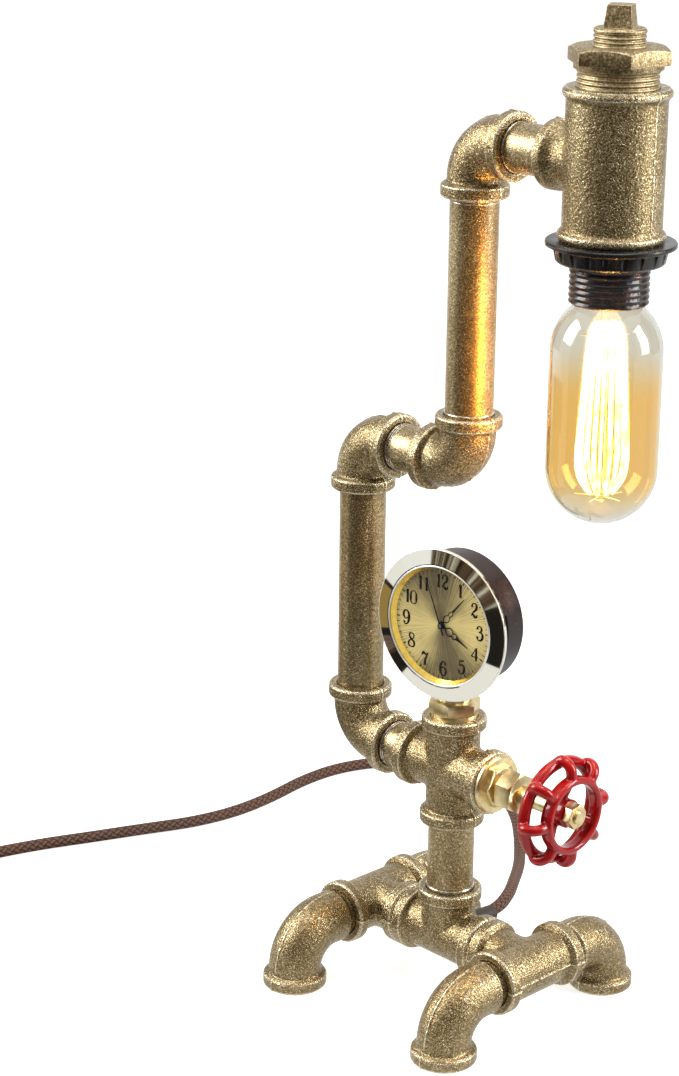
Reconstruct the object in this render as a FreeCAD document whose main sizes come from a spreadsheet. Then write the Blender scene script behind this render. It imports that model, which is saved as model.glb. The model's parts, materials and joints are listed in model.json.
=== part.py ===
import FreeCAD, Part
import math
import os
import re
import Sketcher

# Industrial table lamp built from malleable pipe fittings.
# Millimetres, +Z up. The origin lies on the table under the middle of the lamp.
# The row of feet runs along X, the head reaches out towards +X, and the clock faces -Y.

VECTOR = FreeCAD.Vector

DIMENSIONS = [
    ("pipe_dia", "21.3", "half-inch pipe, outside"),
    ("pipe_bore", "15.8", "half-inch pipe, inside"),
    ("thread_gap", "0.05", "radial clearance of a screwed joint"),
    ("body_dia", "24.4", "barrel of a half-inch fitting"),
    ("collar_dia", "29.6", "band round the mouth of a fitting"),
    ("collar_width", "6", "width of that band"),
    ("edge_break", "0.8", "bevel on cast edges and mouths"),
    ("passage_dia", "18", "bore of a fitting behind its thread"),
    ("socket_depth", "11", "thread engagement of half-inch ends"),
    ("tee_reach", "24", "centre to face of a tee"),
    ("elbow_reach", "24", "centre to face of an elbow"),
    ("cross_reach", "26", "centre to face of the cross"),
    ("foot_reach", "26", "height of the feet, floor to axis"),
    ("foot_spread", "28.5", "side tee face to foot axis"),
    ("shank_taper", "2", "length of the cone before a street elbow's thread"),
    ("tee_gap", "0.4", "daylight between neighbouring tees"),
    ("riser_exposed", "33", "visible part of the riser"),
    ("arm_exposed", "11", "visible part of the nipple beside the cross"),
    ("lower_exposed", "95.5", "visible part of the lower pipe"),
    ("bend_exposed", "17", "visible part of the nipple in the double bend"),
    ("upper_exposed", "95", "visible part of the upper pipe"),
    ("head_exposed", "19.5", "visible part of the nipple to the head"),
    ("outlet_reach", "32.5", "head tee axis to the face of its side outlet"),
    ("head_half", "31", "half the length of the head tee"),
    ("head_body_dia", "41", "barrel of the head tee"),
    ("head_rim_dia", "44.3", "bead round each end of the head tee"),
    ("head_rim_width", "4", "width of that bead"),
    ("head_thread_dia", "33.3", "one-inch thread"),
    ("head_socket_depth", "15", "depth of the one-inch threads"),
    ("head_passage_dia", "30", "bore of the head tee between its threads"),
    ("bushing_exposed", "9.3", "bushing hex above the head tee"),
    ("bushing_shoulder", "3", "plain ring under the bushing hex"),
    ("bushing_hex", "37.2", "bushing, across flats"),
    ("bushing_hex_height", "6.6", "height of the bushing hex"),
    ("bushing_depth", "12", "bushing thread inside the tee"),
    ("bushing_turn", "23", "angle of a bushing corner"),
    ("plug_exposed", "7.2", "plug thread above the bushing"),
    ("plug_base", "11.6", "square of the plug at its foot"),
    ("plug_crown", "9.6", "square of the plug at its top"),
    ("plug_height", "9", "height of the square"),
    ("plug_turn", "29.5", "angle of the square"),
    ("fine_pitch", "1.8", "half-inch thread pitch"),
    ("coarse_pitch", "2", "pitch of the bushing thread"),
    ("thread_depth", "0.7", "depth of a thread groove"),
    ("sleeve_dia", "33", "threaded lamp holder, outside"),
    ("sleeve_bore", "28", "lamp holder, inside"),
    ("sleeve_drop", "25.7", "lamp holder below the head tee"),
    ("sleeve_rise", "12", "lamp holder inside the head tee"),
    ("sleeve_pitch", "2.5", "pitch of the holder's outer thread"),
    ("ring_dia", "53.6", "flange of the shade ring"),
    ("ring_flange", "2.2", "thickness of that flange"),
    ("ring_skirt_dia", "47", "fluted skirt of the shade ring"),
    ("ring_height", "8.8", "height of the shade ring"),
    ("ring_gap", "0.1", "radial clearance of the ring's thread"),
    ("flute_dia", "3.2", "finger flute"),
    ("flute_count", "20", "number of finger flutes"),
    ("shell_wall", "0.5", "screw shell of the lamp holder"),
    ("shell_length", "24", "length of that shell"),
    ("base_height", "5", "thickness of the holder's insulating floor"),
    ("cap_dia", "26", "lamp cap across its thread"),
    ("cap_length", "26", "length of the lamp cap"),
    ("cap_wall", "1.5", "wall of the lamp cap"),
    ("cap_lift", "2", "edge of the lamp cap above the holder's edge"),
    ("cap_tip", "1.2", "height of the lamp's contact"),
    ("contact_dia", "8", "contact of the lamp and of its holder"),
    ("cap_pitch", "3.6", "lamp cap thread pitch"),
    ("bulb_dia", "46.7", "glass tube of the lamp"),
    ("bulb_drop", "93.2", "lamp below the holder"),
    ("bulb_shoulder", "24", "radius of the glass shoulder"),
    ("bulb_wall", "1", "glass thickness"),
    ("bulb_neck", "25.4", "neck of the glass inside the holder"),
    ("neck_rise", "8", "glass inside the cap, above the holder's edge"),
    ("cage_dia", "22", "circle of the filament wires"),
    ("cage_top", "14", "filament top below the holder"),
    ("cage_clearance", "11.2", "filament bottom above the tip of the glass"),
    ("wire_dia", "0.7", "filament wire"),
    ("support_dia", "0.5", "wires that hold the filament"),
    ("stem_dia", "5", "glass stem at the filament's upper end"),
    ("stem_foot_dia", "4", "glass stem at the filament's lower end"),
    ("hairpins", "5", "loops in the filament cage"),
    ("case_stand_off", "2.3", "clock case above its bushing"),
    ("clock_turn", "7", "clock turned towards the head"),
    ("dial_forward", "10.7", "dial face in front of the clock's axis"),
    ("ring_slope", "2.5", "sloping ring round the dial"),
    ("dial_thick", "0.6", "dial"),
    ("bezel_overhang", "4.2", "bezel beyond the clock case"),
    ("bezel_root", "0.6", "back of the bezel beyond the clock case"),
    ("bezel_lip", "0.7", "bezel over the clock glass"),
    ("bezel_rise", "3.2", "front edge of the bezel, above the dial"),
    ("bezel_edge", "1.2", "outer edge of the bezel, above the dial"),
    ("bezel_band", "1.4", "width of that edge"),
    ("bezel_back", "1.6", "back of the bezel, below the dial"),
    ("glass_thick", "0.8", "clock glass"),
    ("glass_lift", "1.9", "back of the clock glass, above the dial"),
    ("case_dia", "62", "clock case"),
    ("case_wall", "2.2", "clock case wall"),
    ("case_back", "19", "back of the clock case, below the dial"),
    ("notch_height", "19", "finger notch in the case"),
    ("notch_depth", "5.5", "finger notch in the case"),
    ("can_gap", "0.6", "clearance round the clock movement"),
    ("insert_gap", "0.05", "radial clearance of what sits in the bezel"),
    ("can_depth", "11", "clock movement housing"),
    ("crown_dia", "5", "setting knob of the clock"),
    ("crown_length", "3", "setting knob of the clock"),
    ("hand_thick", "0.3", "clock hands"),
    ("hour_lift", "0.45", "hour hand above the dial"),
    ("minute_lift", "0.95", "minute hand above the dial"),
    ("second_lift", "1.45", "second hand above the dial"),
    ("hour_length", "16.4", "hour hand"),
    ("minute_length", "19.3", "minute hand"),
    ("second_length", "19.8", "second hand"),
    ("second_tail", "4.6", "second hand"),
    ("hub_disc", "3.6", "round middle of a clock hand"),
    ("hour_angle", "-117.7", "hour hand, from upright"),
    ("minute_angle", "-39.5", "minute hand, from upright"),
    ("second_angle", "21.8", "second hand, from upright"),
    ("post_dia", "1.6", "arbor of the hands"),
    ("hand_gap", "0.05", "radial clearance of the hands"),
    ("stem_hex", "21", "clock bushing, across flats"),
    ("stem_rise", "1.5", "thread of the clock bushing above the cross"),
    ("stem_hex_height", "6.3", "hex of the clock bushing"),
    ("stem_neck_dia", "16", "neck of the clock bushing"),
    ("stem_neck_height", "4.5", "neck of the clock bushing"),
    ("stem_bore", "8", "bore of the clock bushing"),
    ("bonnet_flange_dia", "27", "round flange of the valve bonnet"),
    ("bonnet_flange", "2.4", "thickness of that flange"),
    ("bonnet_hex", "17.5", "bonnet, across flats"),
    ("bonnet_hex_length", "3", "hex of the bonnet"),
    ("bonnet_neck_dia", "12", "neck of the bonnet"),
    ("bonnet_neck", "8", "length of that neck"),
    ("nut_hex", "17", "packing nut, across flats"),
    ("nut_stand_off", "2.2", "neck showing behind the packing nut"),
    ("nut_length", "8.8", "packing nut"),
    ("spindle_dia", "8", "valve spindle"),
    ("spindle_gap", "0.05", "running clearance of the spindle"),
    ("spindle_tip_dia", "6", "spindle through the wheel and nut"),
    ("wheel_out", "70", "wheel plane from the riser axis"),
    ("wheel_turn", "3", "angle of the first finger, from upright"),
    ("fingers", "8", "fingers of the wheel"),
    ("finger_line", "24.4", "finger centreline from the wheel's axis"),
    ("finger_bar", "5", "bar of a finger"),
    ("finger_front", "1.8", "finger centreline in front of the wheel plane"),
    ("finger_bend", "5", "bend of a finger at the front"),
    ("finger_tuck", "2.9", "bend of a finger into the rim"),
    ("rim_line", "22.2", "rim centreline radius"),
    ("rim_bar", "5.4", "bar of the rim"),
    ("band_inner_dia", "28.8", "inner band of the wheel"),
    ("band_wall", "3.3", "inner band, across its wall"),
    ("band_front", "4.8", "inner band in front of the wheel plane"),
    ("band_back", "1.4", "inner band behind the wheel plane"),
    ("spokes", "3", "spokes of the wheel"),
    ("spoke_bar", "3.8", "bar of a spoke"),
    ("spoke_lean", "3.5", "spoke root behind the wheel plane"),
    ("hub_dia", "13", "hub of the wheel"),
    ("hub_front", "1", "hub in front of the wheel plane"),
    ("hub_back", "7.5", "hub behind the wheel plane"),
    ("hub_nut_hex", "10", "wheel nut, across flats"),
    ("hub_nut_length", "4.6", "wheel nut"),
    ("spindle_show", "1.2", "spindle end in front of the nut"),
    ("switch_dia", "14", "rotary switch"),
    ("switch_length", "16", "rotary switch"),
    ("switch_engage", "5", "spindle inside the switch"),
    ("cord_dia", "6", "textile cord"),
    ("grommet_gap", "0.05", "clearance of the cord in its grommet"),
    ("grommet_barrel", "9.4", "hole for the grommet"),
    ("grommet_flange_dia", "12.6", "flange of the grommet"),
    ("grommet_flange", "2", "flange of the grommet"),
    ("grommet_neck", "10", "tapered sleeve of the grommet, at its flange"),
    ("grommet_tip", "7.4", "tapered sleeve of the grommet, at its end"),
    ("relief_length", "18", "tapered sleeve of the grommet, from its seat"),
    ("grommet_seat", "11.2", "flat seat of the grommet, from the tee axis"),
    ("coil_mean_dia", "66", "coil, at the middle of its turns"),
    ("coil_width", "18", "three turns side by side"),
    ("coil_height", "12", "two turns high"),
    ("plug_body_length", "30", "mains plug"),
    ("plug_body_width", "24", "mains plug"),
    ("plug_body_thick", "15", "mains plug"),
    ("plug_boot_length", "14", "sleeve of the mains plug"),
    ("plug_boot_dia", "9", "sleeve of the mains plug"),
    ("plug_tail", "26", "cord between the coil and the plug"),
    ("blade_pitch", "12.7", "between the blades"),
    ("blade_width", "6.3", "blade"),
    ("blade_thick", "1.5", "blade"),
    ("blade_length", "17", "blade"),
    ("lead_dia", "5", "inner lead"),
    ("lead_gap", "0.4", "daylight between inner leads at a swivel"),
    ("lead_bend", "12", "bend of the inner lead in an elbow"),
    ("lead_tight_bend", "5", "bend of the inner lead at the cord's entry"),
    ("lead_easy_bend", "20", "bend of the inner lead where it passes the switch"),
    # sizes that follow from the ones above
    ("socket_dia", "=pipe_dia+2*thread_gap", "inside of a half-inch socket"),
    ("beam_height", "=foot_reach", "axis of the base"),
    ("tee_out", "=2*tee_reach+tee_gap", "side tee axis from the riser axis"),
    ("foot_out", "=tee_reach+foot_spread", "foot axis from the base axis"),
    ("cross_z", "=beam_height+tee_reach+riser_exposed+cross_reach", "axis of the cross"),
    ("lower_out", "=cross_reach+arm_exposed+elbow_reach", "lower pipe from the riser axis"),
    ("lower_foot", "=cross_z+elbow_reach", "face under the lower pipe"),
    ("bend_z", "=lower_foot+lower_exposed+elbow_reach", "axis of the double bend"),
    ("bend_span", "=2*elbow_reach+bend_exposed", "lower pipe to upper pipe"),
    ("upper_foot", "=bend_z+elbow_reach", "face under the upper pipe"),
    ("head_z", "=upper_foot+upper_exposed+elbow_reach", "axis of the head nipple"),
    ("head_span", "=elbow_reach+head_exposed+outlet_reach", "upper pipe to head"),
    ("head_out", "=bend_span-lower_out+head_span", "head from the riser axis"),
    ("riser_x", "=(lower_out+collar_dia/2-head_out-ring_dia/2)/2", "riser axis"),
    ("lower_x", "=riser_x-lower_out", "lower pipe"),
    ("upper_x", "=lower_x+bend_span", "upper pipe"),
    ("head_x", "=riser_x+head_out", "head"),
    ("head_floor", "=head_z-head_half", "bottom face of the head tee"),
    ("sleeve_floor", "=head_floor-sleeve_drop", "bottom edge of the lamp holder"),
    ("holder_ceiling", "=head_floor+sleeve_rise", "top of the lamp holder"),
    ("cap_top", "=sleeve_floor+cap_lift+cap_length", "top of the lamp cap"),
    ("floor_under", "=holder_ceiling-base_height", "underside of the holder's floor"),
    ("cage_drop", "=bulb_drop-cage_clearance", "filament bottom below the holder"),
    ("case_seat", "=stem_rise+stem_hex_height+stem_neck_height", "case boss above the cross"),
    ("clock_height", "=case_seat+case_stand_off+case_dia/2", "clock centre above the cross"),
    ("clock_z", "=cross_z+cross_reach+clock_height", "clock centre"),
    ("case_bore", "=case_dia-2*case_wall", "inside of the clock case"),
    ("can_dia", "=case_bore-2*can_gap", "clock movement"),
    ("dial_dia", "=can_dia-2*ring_slope", "open part of the dial"),
    ("bezel_opening", "=can_dia-2*bezel_lip", "opening of the bezel"),
    ("bezel_dia", "=case_dia+2*bezel_overhang", "outer edge of the bezel"),
    ("rim_back", "=finger_bend+finger_tuck-finger_front", "rim centreline behind the wheel plane"),
    ("band_line", "=(band_inner_dia+band_wall)/2", "middle of the inner band's wall, from the axis"),
    ("nut_from", "=bonnet_flange+bonnet_hex_length+nut_stand_off", "packing nut from the cross"),
    ("seat_depth", "=bonnet_neck-nut_stand_off", "bonnet neck inside the packing nut"),
    ("clock_front", "=dial_forward-bezel_back", "rim of the clock case, in front of its axis"),
]


class Sheet:
    """The spreadsheet of driving dimensions, with plain words in place of cell names."""

    def __init__(self, document, rows):
        self.words = {alias for alias, _, _ in rows}
        self.cells = document.addObject("Spreadsheet::Sheet", "dims")
        for row, (alias, content, note) in enumerate(rows, 1):
            self.cells.set(f"A{row}", note)
            self.cells.setAlias(f"B{row}", alias)
            self.cells.set(f"B{row}", content)
        document.recompute()

    def bind(self, formula):
        """The formula with each size named in full, as an expression of the document."""
        return re.sub(r"[a-z_]+\w*", self._full_name, formula)

    def _full_name(self, found):
        word = found.group()
        return "dims." + word if word in self.words else word

    def number(self, formula):
        result = self.cells.evalExpression(self.bind(formula))
        return float(getattr(result, "Value", result))


doc = FreeCAD.newDocument("pipe_lamp")
sheet = Sheet(doc, DIMENSIONS)
number = sheet.number
parts = []


# ---------------------------------------------------------------- sketches and features

def new_body(label):
    body = doc.addObject("PartDesign::Body", label)
    body.Label = label
    parts.append(body)
    return body


def place(body, x="0", y="0", z="0", turn=None, axis=(0, 0, 1)):
    """Puts a finished body at x, y, z, turned about one axis of the frame."""
    if turn is not None:
        body.Placement = FreeCAD.Placement(VECTOR(), FreeCAD.Rotation(VECTOR(*axis), 10))
        body.setExpression("Placement.Rotation.Angle", sheet.bind(turn))
    for letter, formula in zip("xyz", (x, y, z)):
        if formula != "0":
            body.setExpression(f"Placement.Base.{letter}", sheet.bind(formula))


def origin_piece(body, role):
    return next(piece for piece in body.Origin.OriginFeatures if piece.Role == role)


def new_sketch(body, name, plane, offset=None):
    sketch = body.newObject("Sketcher::SketchObject", name)
    sketch.AttachmentSupport = [(origin_piece(body, plane), "")]
    sketch.MapMode = "FlatFace"
    if offset:
        sketch.setExpression("AttachmentOffset.Base.z", sheet.bind(offset))
    return sketch


def pin(sketch, curve, point, axis, formula):
    """Holds one coordinate of a sketch point at a formula, measured from the origin."""
    size = number(formula)
    if abs(size) < 1e-9:
        line = -2 if axis == 0 else -1
        sketch.addConstraint(Sketcher.Constraint("PointOnObject", curve, point, line))
        return
    kind = "DistanceX" if axis == 0 else "DistanceY"
    ends = (-1, 1, curve, point) if size > 0 else (curve, point, -1, 1)
    index = sketch.addConstraint(Sketcher.Constraint(kind, *ends, abs(size)))
    signed = formula if size > 0 else f"-({formula})"
    sketch.setExpression(f"Constraints[{index}]", sheet.bind(signed))


def pin_radius(sketch, curve, formula):
    index = sketch.addConstraint(Sketcher.Constraint("Radius", curve, number(formula)))
    sketch.setExpression(f"Constraints[{index}]", sheet.bind(formula))


def outline(body, name, plane, corners, offset=None):
    """A closed outline. A corner is (x, y), or (x, y, (cx, cy)) at the end of an arc
    about (cx, cy) from the corner before it; such a corner leaves x or y as None."""
    sketch = new_sketch(body, name, plane, offset)
    return draw_outline(sketch, corners)


def arc_end(start, centre, corner):
    """The full coordinates of an arc's end, from the one that is given."""
    radius = math.dist(start, centre)
    x, y = corner[0], corner[1]
    if x is None:
        rise = number(y) - centre[1]
        side = corner[3] if len(corner) > 3 else 1
        return centre[0] + side * math.sqrt(max(radius ** 2 - rise ** 2, 0)), number(y)
    run = number(x) - centre[0]
    side = corner[3] if len(corner) > 3 else 1
    return number(x), centre[1] + side * math.sqrt(max(radius ** 2 - run ** 2, 0))


def draw_outline(sketch, corners):
    first_curve = sketch.GeometryCount
    spots = []
    for corner in corners:
        if len(corner) == 2:
            spots.append((number(corner[0]), number(corner[1])))
        else:
            centre = (number(corner[2][0]), number(corner[2][1]))
            spots.append(arc_end(spots[-1], centre, corner))
    count = len(corners)
    for index in range(count):
        start, end = spots[index], spots[(index + 1) % count]
        target = corners[(index + 1) % count]
        if len(target) == 2:
            sketch.addGeometry(Part.LineSegment(VECTOR(*start, 0), VECTOR(*end, 0)))
        else:
            centre = (number(target[2][0]), number(target[2][1]))
            sketch.addGeometry(short_arc(start, end, centre))
    for index in range(count):
        here, after = first_curve + index, first_curve + (index + 1) % count
        sketch.addConstraint(
            Sketcher.Constraint("Coincident", here, end_point(sketch, here, spots, index),
                                after, start_point(sketch, after, spots, (index + 1) % count)))
    before = (None, None)
    for index, corner in enumerate(corners):
        curve = first_curve + index
        point = start_point(sketch, curve, spots, index)
        straight = index and len(corner) == 2
        for axis in (0, 1):
            if corner[axis] is None:
                continue
            if straight and corner[axis] == before[axis]:
                kind = "Vertical" if axis == 0 else "Horizontal"
                sketch.addConstraint(Sketcher.Constraint(kind, curve - 1))
            else:
                pin(sketch, curve, point, axis, corner[axis])
        if len(corner) > 2:
            pin(sketch, curve - 1, 3, 0, corner[2][0])
            pin(sketch, curve - 1, 3, 1, corner[2][1])
        before = corner[:2]
    return sketch


def short_arc(start, end, centre):
    """The shorter arc from start to end about centre."""
    circle = Part.Circle(VECTOR(*centre, 0), VECTOR(0, 0, 1), math.dist(start, centre))
    first = math.atan2(start[1] - centre[1], start[0] - centre[0])
    last = math.atan2(end[1] - centre[1], end[0] - centre[0])
    if (last - first) % (2 * math.pi) > math.pi:
        first, last = last, first
    return Part.ArcOfCircle(circle, first, last)


def end_point(sketch, curve, spots, index):
    """Which end of the curve (1 or 2) lies at the corner after index."""
    target = VECTOR(*spots[(index + 1) % len(spots)], 0)
    return 2 if sketch.getPoint(curve, 2).distanceToPoint(target) < 1e-4 else 1


def start_point(sketch, curve, spots, index):
    """Which end of the curve (1 or 2) lies at the corner index."""
    target = VECTOR(*spots[index], 0)
    return 1 if sketch.getPoint(curve, 1).distanceToPoint(target) < 1e-4 else 2


def circle(body, name, plane, diameter, x="0", y="0", offset=None):
    sketch = new_sketch(body, name, plane, offset)
    return draw_circle(sketch, diameter, x, y)


def draw_circle(sketch, diameter, x="0", y="0"):
    centre = VECTOR(number(x), number(y), 0)
    ring = Part.Circle(centre, VECTOR(0, 0, 1), number(diameter) / 2)
    curve = sketch.addGeometry(ring)
    pin_centre(sketch, curve, x, y)
    pin_radius(sketch, curve, f"({diameter})/2")
    return sketch


def pin_centre(sketch, curve, x, y):
    if abs(number(x)) < 1e-9 and abs(number(y)) < 1e-9:
        sketch.addConstraint(Sketcher.Constraint("Coincident", curve, 3, -1, 1))
        return
    pin(sketch, curve, 3, 0, x)
    pin(sketch, curve, 3, 1, y)


def hexagon(body, name, plane, flats, offset=None, turn="0"):
    corner = f"({flats})/2/cos(30)"
    corners = [(f"{corner}*cos({60 * k}+{turn})", f"{corner}*sin({60 * k}+{turn})") for k in range(6)]
    return outline(body, name, plane, corners, offset)


def pad(body, name, sketch, length, back=False, both_ways=False):
    feature = body.newObject("PartDesign::Pad", name)
    feature.Profile = (sketch, [""])
    feature.setExpression("Length", sheet.bind(length))
    feature.Reversed = back
    feature.Midplane = both_ways
    return feature


def pocket(body, name, sketch, length, back=False, both_ways=False):
    feature = body.newObject("PartDesign::Pocket", name)
    feature.Profile = (sketch, [""])
    feature.setExpression("Length", sheet.bind(length))
    feature.Reversed = back
    feature.Midplane = both_ways
    return feature


def spin(body, name, sketch, axis="V_Axis", angle="360", both_ways=False):
    feature = body.newObject("PartDesign::Revolution", name)
    feature.Profile = (sketch, [""])
    feature.ReferenceAxis = (sketch, [axis])
    feature.Midplane = both_ways
    feature.setExpression("Angle", sheet.bind(angle))
    return feature


def groove(body, name, sketch, axis="V_Axis"):
    feature = body.newObject("PartDesign::Groove", name)
    feature.Profile = (sketch, [""])
    feature.ReferenceAxis = (sketch, [axis])
    feature.Angle = 360
    return feature


def ring_section(body, name, plane, diameter, axis_at, y="0", offset=None):
    """A round section at y, with a level axis to swing it about."""
    sketch = new_sketch(body, name, plane, offset)
    draw_circle(sketch, diameter, y=y)
    level = number(axis_at)
    line = sketch.addGeometry(Part.LineSegment(VECTOR(-1, level, 0), VECTOR(1, level, 0)), True)
    sketch.addConstraint(Sketcher.Constraint("Horizontal", line))
    pin(sketch, line, 1, 1, axis_at)
    pin(sketch, line, 1, 0, "-1")
    pin(sketch, line, 2, 0, "1")
    return sketch


def swing(body, name, sketch, angle, back=False, both_ways=False, cut=False):
    """Carries a ring_section round its axis."""
    if cut:
        feature = groove(body, name, sketch, "Axis0")
        feature.setExpression("Angle", sheet.bind(angle))
    else:
        feature = spin(body, name, sketch, "Axis0", angle, both_ways)
    feature.Reversed = back
    return feature


def repeat_round(body, name, features, axis, count):
    """Repeats features evenly about an axis of the body."""
    doc.recompute()
    pattern = body.newObject("PartDesign::PolarPattern", name)
    pattern.Originals = features
    pattern.Axis = (origin_piece(body, axis), [""])
    pattern.Angle = 360
    pattern.setExpression("Occurrences", sheet.bind(count))
    body.Tip = pattern
    return pattern


def repeat_along(body, name, features, sketch, axis, pitch, count):
    """Repeats features in a row along an axis of a sketch."""
    doc.recompute()
    pattern = body.newObject("PartDesign::LinearPattern", name)
    pattern.Originals = features
    pattern.Direction = (sketch, [axis])
    pattern.setExpression("Occurrences", sheet.bind(count))
    pattern.setExpression("Length", sheet.bind(f"({pitch})*(({count})-1)"))
    body.Tip = pattern
    return pattern


def thread_rings(body, name, diameter, first, pitch, count):
    """A row of V grooves round a spindle along Z, the lowest centred at first."""
    flank = f"({pitch})*0.42"
    corners = [
        (f"({diameter})/2-thread_depth", first),
        (f"({diameter})/2+0.01", f"{first}-{flank}"),
        (f"({diameter})/2+0.01", f"{first}+{flank}"),
    ]
    sketch = outline(body, name + "_section", "XZ_Plane", corners)
    cut = groove(body, name, sketch)
    return repeat_along(body, name + "_row", [cut], sketch, "V_Axis", pitch, count)


# ---------------------------------------------------------------- cast fittings

def leg_corners(side, corners):
    """Turns (distance along a leg, radius) into sketch coordinates for that leg."""
    turned = []
    for along_leg, radius in corners:
        if side in ("left", "down") and along_leg != "0":
            along_leg = f"-({along_leg})"
        turned.append((along_leg, radius) if side in ("left", "right") else (radius, along_leg))
    return turned


def leg_axis(side):
    return "H_Axis" if side in ("left", "right") else "V_Axis"


def banded_leg(body, side, plane, reach, start="0"):
    """One leg of a fitting: barrel and the band round its mouth."""
    band = f"{reach}-collar_width"
    corners = leg_corners(side, [
        (start, "0"),
        (start, "body_dia/2"),
        (f"{band}-edge_break", "body_dia/2"),
        (band, "collar_dia/2-edge_break"),
        (f"{band}+edge_break", "collar_dia/2"),
        (f"{reach}-edge_break", "collar_dia/2"),
        (reach, "collar_dia/2-edge_break"),
        (reach, "0"),
    ])
    section = outline(body, side + "_leg", plane, corners)
    return spin(body, side + "_barrel", section, leg_axis(side))


def socket(body, side, plane, reach, passage_from=None):
    """The threaded mouth of a leg, and the passage behind it where there is one."""
    shoulder = f"{reach}-socket_depth"
    corners = [
        (shoulder, "socket_dia/2"),
        (f"{reach}-edge_break", "socket_dia/2"),
        (reach, "socket_dia/2+edge_break"),
        (reach, "0"),
    ]
    if passage_from is None:
        corners = [(shoulder, "0")] + corners
    else:
        corners = [(passage_from, "0"), (passage_from, "passage_dia/2"),
                   (shoulder, "passage_dia/2")] + corners
    section = outline(body, side + "_mouth", plane, leg_corners(side, corners))
    return groove(body, side + "_socket", section, leg_axis(side))


def straight_fitting(label, plane, reach, sides):
    """A tee or a cross: legs that meet at the centre."""
    body = new_body(label)
    for side in sides:
        banded_leg(body, side, plane, reach)
    for side in sides:
        socket(body, side, plane, reach, passage_from="0")
    return body


def bend(body, sign_x, sign_z, radius, diameter, cut=False):
    """A quarter bend between the legs, tangent to both."""
    name = "bend_bore" if cut else "bend"
    centre_x = radius if sign_x > 0 else f"-({radius})"
    centre_z = radius if sign_z > 0 else f"-({radius})"
    section = ring_section(body, name + "_section", "YZ_Plane", diameter, centre_z, offset=centre_x)
    return swing(body, name, section, "90", back=sign_x * sign_z < 0, cut=cut)


def elbow(label, side, rise):
    """A ninety-degree elbow with a banded mouth on each leg."""
    body = new_body(label)
    radius = "elbow_reach-collar_width-2*edge_break"
    bend(body, 1 if side == "right" else -1, 1 if rise == "up" else -1, radius, "body_dia")
    for leg in (side, rise):
        banded_leg(body, leg, "XZ_Plane", "elbow_reach", start=radius)
    bend(body, 1 if side == "right" else -1, 1 if rise == "up" else -1, radius, "passage_dia", cut=True)
    for leg in (side, rise):
        socket(body, leg, "XZ_Plane", "elbow_reach")
    return body


def street_elbow(label):
    """A foot: banded mouth down on the table, male end along +X into a tee."""
    body = new_body(label)
    radius = "foot_reach-collar_width-2*edge_break"
    bend(body, 1, -1, radius, "body_dia")
    banded_leg(body, "down", "XZ_Plane", "foot_reach", start=radius)
    shank = [
        (radius, "0"),
        (radius, "body_dia/2"),
        ("foot_spread-2*shank_taper", "body_dia/2"),
        ("foot_spread-shank_taper", "pipe_dia/2"),
        ("foot_spread+socket_depth-edge_break", "pipe_dia/2"),
        ("foot_spread+socket_depth", "pipe_dia/2-edge_break"),
        ("foot_spread+socket_depth", "0"),
    ]
    spin(body, "shank", outline(body, "shank_section", "XZ_Plane", shank), "H_Axis")
    bend(body, 1, -1, radius, "pipe_bore", cut=True)
    shank_bore = [
        (radius, "0"),
        (radius, "pipe_bore/2"),
        ("foot_spread+socket_depth", "pipe_bore/2"),
        ("foot_spread+socket_depth", "0"),
    ]
    groove(body, "shank_bore", outline(body, "shank_bore_section", "XZ_Plane", shank_bore), "H_Axis")
    socket(body, "down", "XZ_Plane", "foot_reach", passage_from=None)
    return body


def pipe(label, length, upright):
    """A cut length of pipe from the origin, bevelled at both ends."""
    body = new_body(label)
    corners = [
        ("0", "pipe_bore/2"),
        ("0", "pipe_dia/2-edge_break"),
        ("edge_break", "pipe_dia/2"),
        (f"{length}-edge_break", "pipe_dia/2"),
        (length, "pipe_dia/2-edge_break"),
        (length, "pipe_bore/2"),
    ]
    side = "up" if upright else "right"
    section = outline(body, "wall", "XZ_Plane", leg_corners(side, corners))
    spin(body, "tube", section, leg_axis(side))
    return body


def build_base():
    """Four feet on two side tees, joined through the centre tee."""
    for side, sign, turn in (("left", "-", "-90"), ("right", "", "90")):
        tee = straight_fitting(side + "_tee", "XY_Plane", "tee_reach", ("left", "right", "up"))
        place(tee, f"riser_x+{sign}tee_out", "0", "beam_height", turn)
        for end, foot_y, foot_turn in (("front", "-foot_out", "90"), ("rear", "foot_out", "-90")):
            foot = street_elbow(f"{end}_{side}_foot")
            place(foot, f"riser_x+{sign}tee_out", foot_y, "beam_height", foot_turn)
        nipple = pipe(side + "_close_nipple", "2*socket_depth+tee_gap", upright=False)
        inward = "-tee_reach-tee_gap-socket_depth" if side == "left" else "+tee_reach-socket_depth"
        place(nipple, "riser_x" + inward, "0", "beam_height")
    centre = straight_fitting("centre_tee", "XZ_Plane", "tee_reach", ("left", "right", "up"))
    seat = circle(centre, "grommet_seat_circle", "XZ_Plane", "grommet_flange_dia+1", offset="-grommet_seat")
    pocket(centre, "grommet_spotface", seat, "body_dia", back=False)
    hole = circle(centre, "grommet_hole_circle", "XZ_Plane", "grommet_barrel", offset="-passage_dia/4")
    pocket(centre, "grommet_hole", hole, "body_dia", back=False)
    place(centre, "riser_x", "0", "beam_height")
    riser = pipe("riser_nipple", "riser_exposed+2*socket_depth", upright=True)
    place(riser, "riser_x", "0", "beam_height+tee_reach-socket_depth")


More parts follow.
